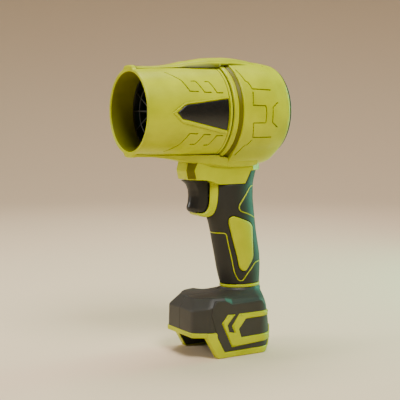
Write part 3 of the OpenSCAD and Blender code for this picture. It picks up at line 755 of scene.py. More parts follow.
def spine_section(x, crest, dome, base_r):
    """Half of the spine's section from its crest down, as (y, height), and its seat's half width."""
    half = SPINE_HALF(x)
    full = crest(x)
    foot = math.sqrt(base_r ** 2 - half ** 2)
    drop = dome * (half / 20.5) ** 2
    shoulder = max(full - drop, foot + 0.05)
    ease = min(1.0, max(0.1, (full - foot) / 4))
    top = [(half * s, full - (full - shoulder) * s * s) for s in np.linspace(0, 0.78, 7)]
    bevel = [(half * 0.86, shoulder - 0.35 * ease + (full - shoulder) * 0.2),
             (half * 0.905, shoulder - 1.1 * ease)]
    room = max(0.0, min(1.0, (shoulder - foot) / 2.5))
    under = np.interp(x, UNDERCUT_AT, UNDERCUT) * room
    lift = np.interp(x, UNDERCUT_AT, UNDERCUT_LIFT) * room
    side = [(half * 0.93, shoulder - 1.6 * ease), (half, foot + lift)]
    return top + [(y, max(z, foot + lift)) for y, z in bevel + side], half - under


def spine(name, crest, dome, up, last, surface_r, replaced):
    """A bridge over the top (up 1) or the bottom (up -1) of the head, from its last station forward."""
    stations = [np.linspace(last, -19.5, 28), np.linspace(-19.2, -5.8, 18), np.linspace(-5, 73.0, 62)]
    rows = []
    for x in np.concatenate(stations):
        base_r = surface_r(x)
        line, seat_half = spine_section(x, crest, dome, base_r)
        reach = math.asin(seat_half / base_r)
        seat = base_r - 0.05
        half_loop = line + [(seat * math.sin(a), seat * math.cos(a)) for a in np.linspace(reach, 0, 7)]
        loop = half_loop + [(-y, z) for y, z in half_loop[-2:0:-1]]
        rows.append([(x, y, AXIS_Z + up * z) for y, z in loop])
    shape = Shape().add(*surface(rows, False, True))
    piece(name, shape, "lime_plastic", replaced, sharp=32)


def seat_r(x):
    return float(np.interp(x, SEAT_AT, SEAT_R))


def bottom_seat_r(x):
    if x > HOUSING_X:
        return seat_r(x)
    return float(housing_r(x, math.radians(-66))) - 0.15


def spines():
    spine("spine_bridge_top", TOP_CREST, 4.2, 1, -60, seat_r, "spine_top")
    spine("spine_bridge_bottom", BOTTOM_CREST, 1.2, -1, -54, bottom_seat_r, "spine_bottom")


# ---- Rear grille and fan ----

def intake_grille():
    x0, x1 = GRILLE_X, REAR_X
    shape = spokes(12, 8.5, 39.6, x0 + 0.3, x1 - 0.5, 0.85, 0.12)
    for r in (17, 24, 31):
        ring = [(x0 + 0.2, r + 0.95), (x1 - 0.4, r + 0.95), (x1 - 0.4, r - 0.95), (x0 + 0.2, r - 0.95)]
        shape.add(*revolve(fillet(ring, 0.55, True), 128))
    rim = [(x1, 43), (x1, 38.6), (x0 + 0.5, 38.6), (x0, 39.2), (x0, 42.1), (x0 + 0.9, 43)]
    shape.add(*revolve(fillet(rim, 0.4, True)))
    collar = [(x1 + 4, 39.9), (x1, 39.9), (x1, 38.6), (x1 + 4, 38.6)]
    shape.add(*revolve(fillet(collar, 0.25, True)))
    hub = [(x1 - 0.4, 0.01), (x1 - 0.4, 9.6), (x0 + 0.6, 9.6), (x0, 8.6), (x0, 5.2), (x0 + 0.5, 4.6),
           (x0 + 0.5, 0.01)]
    shape.add(*revolve(fillet(hub, 0.35), 96, closed=False))
    piece("grille_rings", shape, "black_plastic", "intake_grille")


SCREW_SIDES = 48


def islands(name):
    """Boxes of a CAD node's separate solids, in millimetres."""
    mesh = frame["nodes"][name].data
    count = len(mesh.vertices)
    co = np.zeros(count * 3)
    mesh.vertices.foreach_get("co", co)
    co = co.reshape(-1, 3) / MM
    keys = {}
    owner = list(range(count))

    def find(i):
        while owner[i] != i:
            owner[i] = owner[owner[i]]
            i = owner[i]
        return i

    for i, c in enumerate(np.round(co, 3)):
        j = keys.setdefault(tuple(c), i)
        owner[find(i)] = find(j)
    for polygon in mesh.polygons:
        first = find(polygon.vertices[0])
        for k in polygon.vertices[1:]:
            owner[find(k)] = first
    groups = {}
    for i in range(count):
        groups.setdefault(find(i), []).append(i)
    return [(co[g].min(0), co[g].max(0)) for g in groups.values()]


def screw_shape(head_r, head_h, shank_r, length, drive=0.55):
    """A pan-head screw along +Z from its head: the head's top is at 0 and the shank runs down."""
    turn = np.linspace(0, 2 * np.pi, SCREW_SIDES, endpoint=False)
    recess = head_r * drive * (0.62 + 0.38 * np.abs(np.cos(3 * turn)) ** 0.7)
    levels = [
        (0 * turn, -head_h * 0.62), (recess * 0.92, -head_h * 0.62), (recess * 0.98, -head_h * 0.12),
        (recess * 1.06, -head_h * 0.02), (head_r * 0.74, 0.0), (head_r * 0.9, -head_h * 0.1),
        (head_r * 0.985, -head_h * 0.3), (head_r, -head_h * 0.6), (head_r, -head_h), (shank_r, -head_h),
        (shank_r, -length + shank_r), (shank_r * 0.3, -length), (0.001, -length),
    ]
    rows = [np.stack([r * np.cos(turn), r * np.sin(turn), z + 0 * turn], 1) for r, z in levels]
    return Shape().add(*surface(rows, False, True))


def turned(shape, axis, place):
    """A shape made along +Z, turned to look along -X or -Y and moved to a place."""
    out = Shape().join(shape)
    x, y, z = np.array(shape.verts).T
    turned_to = {"-y": (x, -z, y), "-x": (-z, y, x)}[axis]
    out.verts = [tuple(p) for p in np.stack(turned_to, 1) + np.array(place)]
    return out


FAN_BLADES = 9


def fan():
    """Hub and swept blades of aerofoil section, whose pitch falls towards the tip."""
    low, high = span("fan_impeller")
    rear, front = low[0], high[0]
    root, tip = 15.6, high[2] - AXIS_Z - 0.1
    shape = Shape()
    hub = fillet([(rear, 2.5), (rear, 13.6), (rear + 1.4, 15.4), (rear + 3, 16), (front - 0.4, 16),
                  (front, 15.6), (front, 2.5)], 0.6)
    hub = list(hub) + [tuple(hub[0])]
    shape.add(*revolve(hub, 96, closed=False))
    middle = (front + rear) / 2
    for k in range(FAN_BLADES):
        rows = []
        for s in np.linspace(0, 1, 12):
            r = root + (tip - root) * s
            pitch = math.radians(42 - 15 * s)
            chord = min(17.5, 11.4 / math.sin(pitch))
            sweep = 0.22 * s * s
            loop = []
            for t in np.linspace(0, 2 * np.pi, 22, endpoint=False):
                c = 0.5 * chord * math.cos(t)
                thick = (0.9 - 0.35 * s) * math.sin(t) * (0.62 + 0.38 * math.cos(t) ** 2)
                camber = 1.1 * (1 - (2 * c / chord) ** 2)
                along = c * math.sin(pitch) + (thick + camber) * math.cos(pitch)
                across = c * math.cos(pitch) - (thick + camber) * math.sin(pitch)
                angle = 2 * np.pi * k / FAN_BLADES + sweep + across / r
                x = np.clip(middle + along - 0.5, rear + 0.05, front - 0.05)
                loop.append((x, r * math.cos(angle), AXIS_Z + r * math.sin(angle)))
            rows.append(loop)
        shape.add(*surface(rows, False, True))
    piece("fan_wheel", shape, "fan_plastic", "fan_impeller", body="rotor")


# ---- Grip ----

# The grip's oval section against height: its middle and its half axes along X and Y.
GRIP_Z = [62, 65, 72, 80, 93, 105, 117, 127, 138, 149, 164, 177, 180]
GRIP_MIDDLE = smooth_table(
    GRIP_Z, [-46, -45.9, -45, -44.1, -42.6, -40.2, -37.9, -36, -33, -31.6, -32, -36.4, -37.4])
GRIP_A = smooth_table(GRIP_Z, [20.6, 20.9, 22.2, 23.5, 24.5, 24.7, 24.8, 25.4, 27.2, 27.4, 27.2, 26.4, 26.2])
GRIP_B = smooth_table(GRIP_Z, [16, 16, 16.2, 16.4, 16.5, 16.5, 16.5, 16.5, 16.5, 16.5, 16.1, 15.6, 15.5])


def on_grip(arc, z, level):
    """A point of the grip: arc runs from its front over the left side."""
    t = arc / GRIP_MEAN_R
    a, b = GRIP_A(z) + level, GRIP_B(z) + level
    return np.stack([GRIP_MIDDLE(z) + a * np.cos(t), b * np.sin(t), z + 0 * t], -1)


# Lines on the grip as (degrees round it from its front, height).
PANEL = [(77, 133.2), (119, 125.6), (127, 121.6), (111.5, 91), (106, 87.4), (87, 78.4), (77, 78.2),
         (69, 81.5), (59.5, 126), (65, 131.4)]
LOW_PIN = [(49.5, 116.4), (50.5, 104.4), (55, 76.5), (63, 68.9), (75, 68.7), (84, 73), (115, 84.8), (124, 86),
           (174, 86.2)]
HIGH_PIN = [(174, 161.2), (136, 161.0), (128, 159.4), (95, 143), (93.6, 139.8), (97.5, 137.2), (141, 130.3),
            (174, 127.5)]
SKIN_FRONT = [(0, 130.6), (12, 132.3), (27, 134.9), (38, 139.5), (45, 147.7), (47, 157), (47.2, 163.7)]
SKIN_TOP = [(109.5, 163.7), (113, 165.6), (121, 176.6), (180, 176.6)]
# Screws above this height sit in the side panel, and the one below it in the overmould.
PANEL_FOOT_Z = 90


def flipped(points, side):
    """Points of a line on the grip's left (side 1) or right (side -1)."""
    return [(t * side, z) for t, z in points]


def grip_path(points, corner, step=1.1, closed=False):
    flat = [(t * GRIP_ARC, z) for t, z in points]
    return resample(fillet(flat, corner, closed), step, closed)


def pin_paths():
    """The pin line round the grip's front, and the one on each side of its back."""
    low = flipped(LOW_PIN[::-1], -1) + LOW_PIN
    return [grip_path(flipped(HIGH_PIN, side), 3.0) for side in (1, -1)] + [grip_path(low, 3.0)]


def pin_slot(path):
    return [(band(path, 0.75), 0.0, None), (band(path, 0.5), -0.45, None)]


def counterbore(at, r, depth):
    """Loops of a screw hole in the right side of the grip."""
    angle = -np.arccos(np.clip((at[0] - GRIP_MIDDLE(at[1])) / GRIP_A(at[1]), -1, 1))
    turn = np.linspace(0, 2 * np.pi, 24, endpoint=False)
    spot = np.array([angle * GRIP_MEAN_R, at[1]])
    around = np.stack([np.cos(turn), np.sin(turn)], 1)
    return [(spot + around * (r + 0.35), 0.0, None), (spot + around * r, -0.35, None),
            (spot + around * (r - 0.05), -depth, -depth)]


def grip_screws():
    """Station and height of the handle's screws below the trigger."""
    return [((lo[0] + hi[0]) / 2, (lo[2] + hi[2]) / 2) for lo, hi in islands("handle_screws")
            if (lo[2] + hi[2]) / 2 < 150]


def grip_skin():
    edge = [(-180, 65.1), (180, 65.1)] + SKIN_TOP[::-1] + SKIN_FRONT[::-1]
    edge += flipped(SKIN_FRONT[1:], -1) + flipped(SKIN_TOP, -1)
    outline = resample([(t * GRIP_ARC, z) for t, z in edge], 1.2, True)
    features = [(inset(outline, 0.55), 0.0, 0.0)]
    left_pin, right_pin, low_pin = pin_paths()
    for side, pin in ((1, left_pin), (-1, right_pin)):
        panel = grip_path(flipped(PANEL, side), 3.2, closed=True)
        features += [(inset(panel, -1.0), 0.0, None), (inset(panel, -0.35), -0.8, -1.2)]
        features += pin_slot(pin)
    features += pin_slot(low_pin)
    for at in grip_screws():
        if at[1] < PANEL_FOOT_Z:
            features += counterbore(at, 3.0, 4.0)
    shape = relief(features, on_grip, (1.7, 1.7), outline=outline, edge_drop=-0.5, base=-2.3)
    piece("grip_overmould", shape, "charcoal_grip", "grip_skin_left", "grip_skin_right", sharp=42)


def grip_panels():
    face = 0.95
    for side, name in ((1, "left"), (-1, "right")):
        panel = grip_path(flipped(PANEL, side), 3.2, closed=True)
        features = [(inset(panel, 0.25), 0.25, None), (inset(panel, 0.7), 0.62, None),
                    (inset(panel, 1.6), 0.85, face)]
        for at in grip_screws():
            if side < 0 and at[1] > PANEL_FOOT_Z:
                features += [(loop, face + level, None if fill is None else face + fill)
                             for loop, level, fill in counterbore(at, 3.0, 3.0)]
        shape = relief(features, on_grip, (1.8, 1.8), outline=panel, edge_drop=-0.3, base=-1.15)
        piece(f"grip_inlay_{name}", shape, "lime_plastic", f"grip_panel_{name}", sharp=50)


def pin_lines():
    """Thin lime ribs of the handle core that show through slots in the overmould."""
    shape = Shape()
    left_pin, right_pin, low_pin = pin_paths()
    for path in (low_pin, left_pin, right_pin):
        rib = relief([(band(path, 0.26), 0.2, None)], on_grip, (5, 5), outline=band(path, 0.46), base=-0.5)
        shape.join(rib)
    return shape


def grip_ring():
    rows = []
    turn = np.linspace(0, 2 * np.pi, 128, endpoint=False)
    ring = [(-4, 0), (0.1, 0), (0.55, 0.4), (0.6, 1.3), (0.45, 2.4), (0.0, 2.95), (-4, 2.95)]
    for out, rise in fillet(ring, 0.3, True, 3):
        a, b = NECK_A + out, NECK_B + out
        rows.append(np.stack([NECK_X + a * np.cos(turn), b * np.sin(turn), FOOT_TOP + rise + 0 * turn], 1))
    piece("grip_band", Shape().add(*surface(rows, True, True)), "lime_plastic", "grip_ring")


# ---- Handle ----

def neck_half():
    """Left half of the neck and trigger housing."""
    inner = [(18.6, 187), (20.9, 178.4), (18.8, 169.4), (4, 169), (-3, 167.4), (-9, 164.2), (-42, 164.2),
             (-48.5, 176.6), (-58, 176.6), (-63, 177), (-62, 187)]
    outer = [(11.3, 187), (15.3, 178.4), (13.0, 169.4), (2, 169), (-5, 167.4), (-13, 164.2), (-42, 164.2),
             (-48.5, 176.6), (-50, 176.6), (-51.5, 177), (-50, 187)]
    pocket = inner[:3] + [(4, 169.1), (-11.3, 169.1), (-11.5, 164.2)] + inner[6:]
    rows = [
        [(x, 0.0, z) for x, z in pocket],
        [(x, 8.5, z) for x, z in pocket],
        [(x, 8.55, z) for x, z in inner],
        [(x, 9.2, z) for x, z in inner[:8]] + [(-58, 11.5, 176.6), (-61.5, 9.2, 177), (-60.5, 9.2, 187)],
        [(x, 15.5, z) for x, z in outer],
    ]
    return round_columns(round_rows(np.array(rows), 0.8, 3), [0, 0, 0, 0.9, 0.9], 3)


def handle_half(side):
    """Neck with its front facet in olive (look 1), painted shade in a darker lime, and the frame of the trigger.
    """
    rows = neck_half()
    verts, faces = surface(rows)
    centres = verts[np.array(faces)].mean(1)
    shape = Shape().add(verts, faces)
    # Faces of the front facet take look 1: painted shade in a darker lime.
    shape.looks = [int(9.6 < y < 15.1 and x > 12 and 170 < z < 190) for x, y, z in centres]
    shape.add(rows[-1], [tuple(range(len(rows[0])))])
    shape.add(*surface([rows[:, 0], rows[:, -1]]))
    shape.join(trigger_surround())
    return shape if side > 0 else shape.mirrored()


# Points down the trigger's frame: its outer edge, its inner edge and the foot of its pocket.
SURROUND_OUTER = [
    (-13.3, 12.1, 167.5), (-13.3, 12.1, 157), (-12.9, 11.9, 148), (-11.5, 11.2, 140.5), (-9.2, 10.4, 135.6),
    (-5.5, 9.9, 133.2), (0.5, 9.6, 132.9), (4.2, 8.9, 133.9), (7.4, 6.4, 135.7),
]
SURROUND_INNER = [
    (-5.4, 9.0, 167.5), (-5.4, 9.0, 157), (-5.2, 9.0, 150), (-4.6, 9.0, 144.5), (-3.2, 9.0, 140.6),
    (-0.4, 9.0, 137.8), (3.2, 9.0, 136.9), (5, 8.6, 136.9), (7.6, 6.2, 137.2),
]
SURROUND_POCKET = [
    (-11.4, 8.6, 167.5), (-11.4, 8.6, 157), (-11.4, 8.6, 150), (-11.3, 8.6, 143), (-9.8, 8.6, 138.0),
    (-4.5, 8.6, 136.4), (2.5, 8.6, 136.3), (5, 8.2, 136.4), (7.6, 6.0, 136.9),
]
# Above this height the frame is open in the middle, for the switch plunger.
SURROUND_OPEN_Z = 145


def trigger_surround():
    """Lime frame behind and under the trigger, as the left half of a swept section."""
    rows = []
    for points in zip(SURROUND_OUTER, SURROUND_INNER, SURROUND_POCKET):
        outer, inner, pocket = np.array(points, float)
        crown = outer * 0.82 + inner * 0.18 + (0.0, 0.75, 0.0)
        edge = outer * 0.34 + inner * 0.66 + (0.0, 0.85, 0.0)
        x, y, z = outer
        middle = 6.9 if z > SURROUND_OPEN_Z else 0.0
        rows.append([(x, middle, z), (x, y - 1.2, z), outer, crown, edge, inner, pocket,
                     (pocket[0], middle, pocket[2])])
    fine = round_columns(np.array(rows), 3.0, 5)
    fine = round_rows(fine, [0, 0.8, 0.7, 0.8, 0.4, 0.3, 0.4, 0], 3)
    return Shape().add(*surface(fine, False, True))


def handle():
    looks = ["lime_plastic", "olive_trim"]
    piece("handle_half_left", handle_half(1).join(pin_lines()), looks, "handle_left", sharp=30)
    piece("handle_half_right", handle_half(-1), looks, "handle_right", sharp=30)


# ---- Trigger ----

# The trigger's front, the ridge between its front and its sides, how far its toe draws in, and its rear.
TRIGGER_Z = [136.9, 137.2, 138.0, 139.4, 141.0, 142.6, 147, 153, 159, 164.5, 168.6]
TRIGGER_FRONT = [8.4, 10.2, 12.2, 13.5, 14.2, 14.4, 13.0, 12.3, 12.9, 15.2, 20.2]
TRIGGER_RIDGE = [5.6, 6.8, 8.2, 9.0, 9.2, 9.1, 8.0, 7.4, 8.0, 10.4, 15.6]
TRIGGER_TUCK = [1.6, 0.8, 0.3, 0.05, 0, 0, 0, 0, 0, 0, 0]
TRIGGER_REAR = [0.2, -1.0, -2.4, -2.9, -3.3, -3.7, -4.6, -4.8, -4.8, -4.4, -3.6]
TRIGGER_WALL = 1.2
TRIGGER_HOLLOW_X = 2.4


def trigger():
    half = span("trigger")[1][1]
    front = smooth_table(TRIGGER_Z, TRIGGER_FRONT, 3)
    ridge = smooth_table(TRIGGER_Z, TRIGGER_RIDGE, 3)
    levels = np.concatenate([[136.9, 137.05, 137.3, 137.7, 138.2], np.linspace(139, 168.5, 32)])
    rows = []
    for z in levels:
        tuck = np.interp(z, TRIGGER_Z, TRIGGER_TUCK)
        nose, shoulder = front(z) - tuck * 0.3, ridge(z)
        b = half - tuck
        rear = np.interp(z, TRIGGER_Z, TRIGGER_REAR)
        cheek = [(nose - (nose - shoulder) * (s ** 2.2), (b - 1.1) * s) for s in np.linspace(0, 1, 8)]
        side = [(shoulder - 0.55, b - 0.5), (shoulder - 1.3, b - 0.12), (shoulder - 2.4, b),
                ((shoulder + rear) / 2, b)]
        back = [(rear + 0.8, b), (rear + 0.25, b - 0.25), (rear, b - 0.8), (rear, b - TRIGGER_WALL),
                (TRIGGER_HOLLOW_X, b - TRIGGER_WALL), (TRIGGER_HOLLOW_X, 0)]
        half_loop = cheek + side + back
        loop = half_loop + [(x, -y) for x, y in half_loop[-2:0:-1]]
        rows.append([(x, y, z) for x, y in loop])
    shape = Shape().add(*surface(rows, False, True))
    piece("trigger_button", shape, "trigger_plastic", "trigger", body="trigger", sharp=45)


# ---- Foot ----

# Half gap between the foot's halves, before the seam is closed on the middle plane.
SPLIT = 0.45
NECK_ANGLES = np.radians([0, 24, 46, 66, 86, 114, 138, 160, 180])


def foot_cage():
    """Rows of the left half of the foot, from the trim band up to the neck."""
    edge = [(23, SPLIT), (23, 23.6), (8.6, 33.2), (-9, 33.4), (-17, 33.4), (-50, 33.2), (-58.5, 30.2),
            (-66, 18), (-68.4, SPLIT)]
    rows = [
        [(x, y, 24.6) for x, y in edge],
        [(22.7, SPLIT, 46.4), (22.7, 22.6, 46.0), (8.0, 32.8, 48.6), (-9, 32.8, 54.4), (-16.6, 32.8, 50.6),
         (-50, 32.6, 51.0), (-58.6, 28.8, 44.6), (-66, 17.5, 42.0), (-68.3, SPLIT, 41.5)],
        [(14.6, SPLIT, 56.6), (14.4, 14.6, 56.4), (3.0, 26.6, 57.4), (-9, 30.0, 57.6), (-17.5, 29.0, 54.4),
         (-50, 28.6, 53.8), (-59.5, 24.0, 50.4), (-65.4, 14.5, 49.6), (-67.6, SPLIT, 49.4)],
        [(4, SPLIT, 57.3), (3.6, 10.6, 57.2), (-5.0, 19.5, 56.8), (-16, 23.5, 56.4), (-26, 24.6, 56.0),
         (-50, 23.6, 56.0), (-59.8, 19.0, 54.6), (-65.4, 11.5, 54.0), (-67.2, SPLIT, 53.8)],
        [(-9, SPLIT, 57.2), (-9.6, 8.5, 57.2), (-14.5, 15.4, 57.3), (-24, 19.4, 57.6), (-33, 20.4, 58.0),
         (-50, 19.8, 58.2), (-59.0, 15.6, 58.0), (-64.6, 9.4, 57.6), (-66.8, SPLIT, 57.4)],
    ]
    for z, grow in ((59.8, 1.5), (62.4, 0.2)):
        a, b = NECK_A + grow, NECK_B + grow
        rows.append([(NECK_X + a * math.cos(t), max(SPLIT, b * math.sin(t)), z) for t in NECK_ANGLES])
    return np.array(rows, float)


def foot_shell_half():
    along = np.array([0, 4.2, 4.2, 1.2, 1.2, 2.4, 4.0, 5.0, 0])
    ease = (1, 0.85, 0.5, 0.9, 1.6, 2.5, 3)
    rows = np.array([fillet(row, along * k, steps=5) for row, k in zip(foot_cage(), ease)])
    grid = round_columns(rows, [0, 1.2, 1.4, 4, 5, 2.0, 0], 4)
    first = grid[:, 0].copy()
    last = grid[:, -1].copy()
    for line in (first, last):
        # The seam: a fine groove that runs in towards the middle of the foot.
        line[:, 1] = 0
        toward = np.array([-22.0, 0, 42.0]) - line
        toward[:, 1] = 0
        line += toward / np.linalg.norm(toward, axis=1)[:, None] * 0.35
    grid = np.concatenate([first[:, None], grid, last[:, None]], 1)
    under = grid[0].copy()
    under[:, 2] = 22.6
    deep = under.copy()
    deep[:, 0] = -22 + (deep[:, 0] + 22) * 0.9
    deep[:, 1] *= 0.9
    return Shape().add(*surface(np.concatenate([deep[None], under[None], grid])))


# Side faces of the legs from the middle plane, and the station where the heel starts to bend in.
LEG_IN = 27.5
FOOT_SIDE = 34.0
HEEL_X = -48
LEG_OUTSIDE = [(2.2, 25.2), (0.6, 19.7), (-7.1, 5.3), (-57.4, 5.9), (-60.9, 12), (-62.2, 25.2)]
LEG_INSIDE = [(-65.0, 25.2), (-63.6, 15), (-60.8, 5.6), (-54, 0.0), (0.2, 0.0), (11.4, 19.2), (12.0, 25.2)]
SIDE_PANEL = [(2.2, 24.6), (0.6, 19.7), (-7.1, 5.3), (-57.4, 5.9), (-60.9, 12), (-61.6, 26), (-57.8, 43.4),
              (-50.4, 51.5), (-16.4, 50.9), (-9.3, 54.9), (1.4, 54.9), (6.1, 48.9), (7.0, 41.8)]


def on_side(x, z, level):
    """The foot's side, which bends in towards the heel and leans in a little upwards."""
    bend = 5.5 * np.clip((HEEL_X - x) / 13, 0, 2) ** 2
    lean = 0.016 * np.clip(z - 25, 0, 40)
    return np.stack([x, FOOT_SIDE + level - bend - lean, z], -1)


def foot_trim_half():
    """Lime band round the toe, and the leg that it runs down into."""
    curve = fillet(foot_cage()[0][:4], [0, 2.2, 2.4, 0], steps=6)
    curve[0, 1] = 0.0
    curve[:, 0] = np.maximum(curve[:, 0], 1.0)
    flat = curve[:, :2]
    out = -normals_2d(flat, False)
    out[0] = (1, 0)
    out[-1] = (0, 1)
    section = [(-4, 20.6), (0.0, 20.6), (0.55, 21.1), (0.55, 24.6), (0.1, 25.2), (-4, 25.2)]
    rows = [[(*(p + o * grow), z) for p, o in zip(flat, out)] for grow, z in fillet(section, 0.3, True, 3)]
    shape = Shape().add(*surface(rows, True, False))
    leg = resample(fillet(LEG_OUTSIDE + LEG_INSIDE, 0.8, True), 2, True)
    features = [(inset(leg, 0.55), 0.5, 0.5)]
    return shape.join(relief(features, on_side, (3, 3), outline=leg, base=LEG_IN - FOOT_SIDE))


def foot_side_half():
    """Charcoal plate between the leg's rails and up the foot's side, and the lining of the well."""
    outline = resample(fillet(inset(SIDE_PANEL, 0.08), [0.8] * 6 + [2.0] * 5 + [3.0] * 2, True), 2, True)
    features = [(inset(outline, 0.35), -0.1, None), (inset(outline, 0.9), 0.0, 0.0)]
    plate = relief(features, on_side, (3, 3), outline=outline, edge_drop=-0.55, base=LEG_IN - FOOT_SIDE)
    lining = inset([(11.0, 22.8)] + LEG_INSIDE[5:1:-1] + [(-62, 22.8)], 0.8)
    lining = resample(lining, 3, True)
    face = LEG_IN - FOOT_SIDE + 0.1
    flat = [(inset(lining, 0.4), face, face)]
    return plate.join(relief(flat, on_side, (4, 4), outline=lining, edge_drop=face, base=face - 0.6))


BADGE = [
    (-10.7, 41.2), (-3.8, 33.5), (-15.1, 9.3), (-62.9, 11.8), (-63.2, 18.8), (-25.9, 18), (-23.1, 26.1),
    (-31.1, 35.3), (-58.8, 35.8), (-59.2, 41.1), (-23.5, 41.0), (-15.0, 29.8), (-18.3, 23.0), (-12.2, 24.5),
    (-10.3, 31.2), (-19.4, 41.0),
]


def foot_badge_half():
    outline = resample(fillet(BADGE, 0.35, True), 2.5, True)
    features = [(inset(outline, 0.2), 0.35, None), (inset(outline, 1.1), 1.25, 1.4)]
    return relief(features, on_side, (2, 2), outline=outline, edge_drop=-0.2, base=-1.4)


def rear_wall_half():
    """Rear wall of the battery well, below the shell."""
    plan = [(-50, 33.4), (-58.5, 30.3), (-65.6, 18), (-68.0, 0)]
    low = [(-50, 33.2), (-55.5, 29.5), (-60.6, 17), (-62.5, 0)]
    outer = [[(x, y, 25.5) for x, y in plan], [(x + 0.4, y, 17) for x, y in plan],
             [(0.5 * (a + c) + 0.8, 0.5 * (b + d), 9) for (a, b), (c, d) in zip(plan, low)],
             [(x, y, 4.6) for x, y in low]]
    inner = [[(-47, 28.5, z), (-53, 27, z), (-58.5, 15, z), (-59, 0, z)] for z in (4.6, 25.5)]
    rows = round_rows(np.array(outer + inner, float), [0, 3, 4, 0], 4)
    return Shape().add(*surface(round_columns(rows, [0, 1.5, 1.5, 0.6, 0.6, 0], 3)))


def foot():
    shell = foot_shell_half().join(foot_side_half()).join(rear_wall_half())
    trim = foot_trim_half()
    badge = foot_badge_half()
    halves = (("left", shell, trim, badge), ("right", shell.mirrored(), trim.mirrored(), badge.mirrored()))
    for name, body, rail, chevron in halves:
        piece(f"foot_half_{name}", body, "charcoal_shell", f"foot_shell_{name}", sharp=30,
              slot="charcoal_grip")
        piece(f"foot_band_{name}", rail, "lime_plastic", f"foot_trim_{name}", sharp=30)
        piece(f"foot_chevron_{name}", chevron, "lime_plastic", f"foot_badge_{name}", sharp=30)


# ---- Screws and inner parts ----

# Head radius, head height and shank radius.
BODY_SCREW = (2.8, 2.0, 1.5)
GRILLE_SCREW = (1.6, 1.0, 0.9)


def screws():
    for name in ("handle_screws", "foot_screws"):
        shape = Shape()
        for lo, hi in islands(name):
            place = ((lo[0] + hi[0]) / 2, lo[1], (lo[2] + hi[2]) / 2)
            shape.join(turned(screw_shape(*BODY_SCREW, hi[1] - lo[1]), "-y", place))
        piece(name.replace("screws", "bolts"), shape, "steel", name)
    shape = Shape()
    for lo, hi in islands("grille_screws"):
        place = (lo[0], (lo[1] + hi[1]) / 2, (lo[2] + hi[2]) / 2)
        shape.join(turned(screw_shape(*GRILLE_SCREW, hi[0] - lo[0], 0.5), "-x", place))
    piece("grille_bolts", shape, "steel", "grille_screws")


def inner_parts():
    """CAD nodes that keep their shape take their finish, and smooth shading that stays sharp at their edges."""
    slots = {part["node"]: part["material_slot"] for part in frame["record"]["subparts"]}
    for name, obj in frame["nodes"].items():
        obj.data.materials.clear()
        obj.data.materials.append(LOOKS[slots[name]])
        if obj.hide_render:
            continue
        obj.data.shade_smooth()
        obj.data.set_sharp_from_angle(angle=math.radians(30))


nozzle_tube()
nozzle_inserts()
rings()
outlet_guard()
motor_housing()
spines()
intake_grille()
fan()
grip_skin()
grip_panels()
grip_ring()
handle()
trigger()
foot()
screws()
inner_parts()


# ---- Stage, light and camera ----

# The stage, in metres: a flat round floor, the radius of its bend and the height of its wall.
FLAT_R = 1.5
BEND_R = 1.1
WALL_H = 3.2


def backdrop():
    """A round floor that bends up into a wall, with painted shade that darkens the paper's colour upwards."""
    tree, bsdf = shader("backdrop_paper")
    coords = node(tree, "ShaderNodeTexCoord").outputs["Object"]
    cloud = noise(tree, coords, 1.6, 2.0)
    height = node(tree, "ShaderNodeSeparateXYZ")
    tree.links.new(coords, height.inputs[0])
    # Painted shade: the colour falls to a dark brown up the bend, standing in for the light that fades up the
    # wall.
    rise = remap(tree, height.outputs["Z"], 0.0, BEND_R, 0, 1)
    low = blend_colour(tree, cloud, (0.83, 0.645, 0.44), (0.86, 0.675, 0.465))
    tone = blend_colour(tree, rise, low, (0.34, 0.24, 0.145))
    tree.links.new(tone, bsdf.inputs["Base Color"])
    bsdf.inputs["Roughness"].default_value = 0.9
    bsdf.inputs["Specular IOR Level"].default_value = 0.1
    quarter = np.linspace(0, math.pi / 2, 16)
    bend = [(FLAT_R + BEND_R * math.sin(a), BEND_R - BEND_R * math.cos(a)) for a in quarter]
    profile = [(0.00005, 0), *bend, (FLAT_R + BEND_R, WALL_H)]
    turn = np.linspace(0, 2 * np.pi, 96, endpoint=False)
    rows = [[(r * math.cos(t), r * math.sin(t), h - 0.0003) for t in turn] for r, h in profile]
    verts, faces = surface(rows, False, True)
    mesh = bpy.data.meshes.new("studio_floor")
    mesh.from_pydata([tuple(v) for v in verts], [], faces)
    mesh.shade_smooth()
    floor = bpy.data.objects.new("studio_floor", mesh)
    scene.collection.objects.link(floor)
    mesh.materials.append(LOOKS["backdrop_paper"])


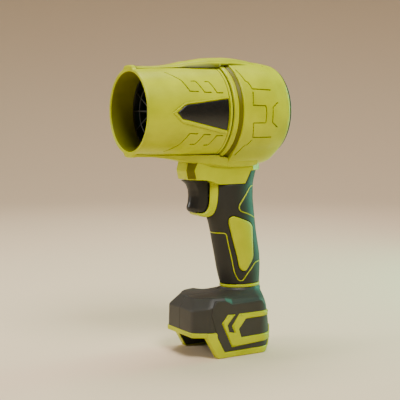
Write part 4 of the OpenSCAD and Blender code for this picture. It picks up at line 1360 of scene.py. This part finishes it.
def area_light(name, place, target, size, power, colour):
    data = bpy.data.lights.new(name, "AREA")
    data.shape = "RECTANGLE"
    data.size, data.size_y = size
    data.energy = power
    data.color = colour
    lamp = bpy.data.objects.new(name, data)
    scene.collection.objects.link(lamp)
    lamp.location = place
    lamp.rotation_euler = (Vector(target) - Vector(place)).to_track_quat("-Z", "Y").to_euler()


# The camera looks from the front left, a little from above; places are in metres.
VIEW_TURN = math.radians(31)
VIEW_DROP = math.radians(5.6)
VIEW_TARGET = Vector((0, 0, 0.1488))
VIEW_DISTANCE = 0.9639


def camera():
    data = bpy.data.cameras.new("view")
    data.lens = 90
    data.sensor_width = 36
    data.clip_start = 0.05
    data.clip_end = 20
    eye = bpy.data.objects.new("view", data)
    scene.collection.objects.link(eye)
    level = math.cos(VIEW_DROP)
    back = Vector((math.sin(VIEW_TURN) * level, math.cos(VIEW_TURN) * level, math.sin(VIEW_DROP)))
    eye.location = VIEW_TARGET + back * VIEW_DISTANCE
    eye.rotation_euler = (-back).to_track_quat("-Z", "Y").to_euler()
    scene.camera = eye


def seen(right, up, near):
    """A place given from the camera's side: to its right, up, and towards it, in metres."""
    side = Vector((-math.cos(VIEW_TURN), math.sin(VIEW_TURN), 0))
    near_way = Vector((math.sin(VIEW_TURN), math.cos(VIEW_TURN), 0))
    return side * right + near_way * near + Vector((0, 0, up))


def lights():
    middle = (0, 0, 0.16)
    area_light("key", seen(0.32, 1.15, 0.72), middle, (0.5, 0.5), 17.0, (1.0, 0.985, 0.95))
    area_light("side", seen(-1.0, 0.5, 0.1), (0, 0, 0.1), (0.4, 0.4), 5.5, (1.0, 0.98, 0.94))
    area_light("top", seen(-0.1, 1.25, -0.2), middle, (0.6, 0.4), 10, (1.0, 0.98, 0.94))
    area_light("rim", seen(0.7, 0.25, -0.42), middle, (0.2, 0.7), 6.5, (0.12, 1.0, 0.62))
    area_light("wall", seen(0.0, 1.3, -0.6), seen(0, 0.3, -2.0), (1.6, 0.4), 18, (1.0, 0.97, 0.92))
    world = bpy.data.worlds.new("studio")
    world.use_nodes = True
    air = world.node_tree.nodes["Background"]
    air.inputs["Color"].default_value = (0.95, 0.9, 0.84, 1)
    air.inputs["Strength"].default_value = 0.03
    scene.world = world


camera()
backdrop()
lights()
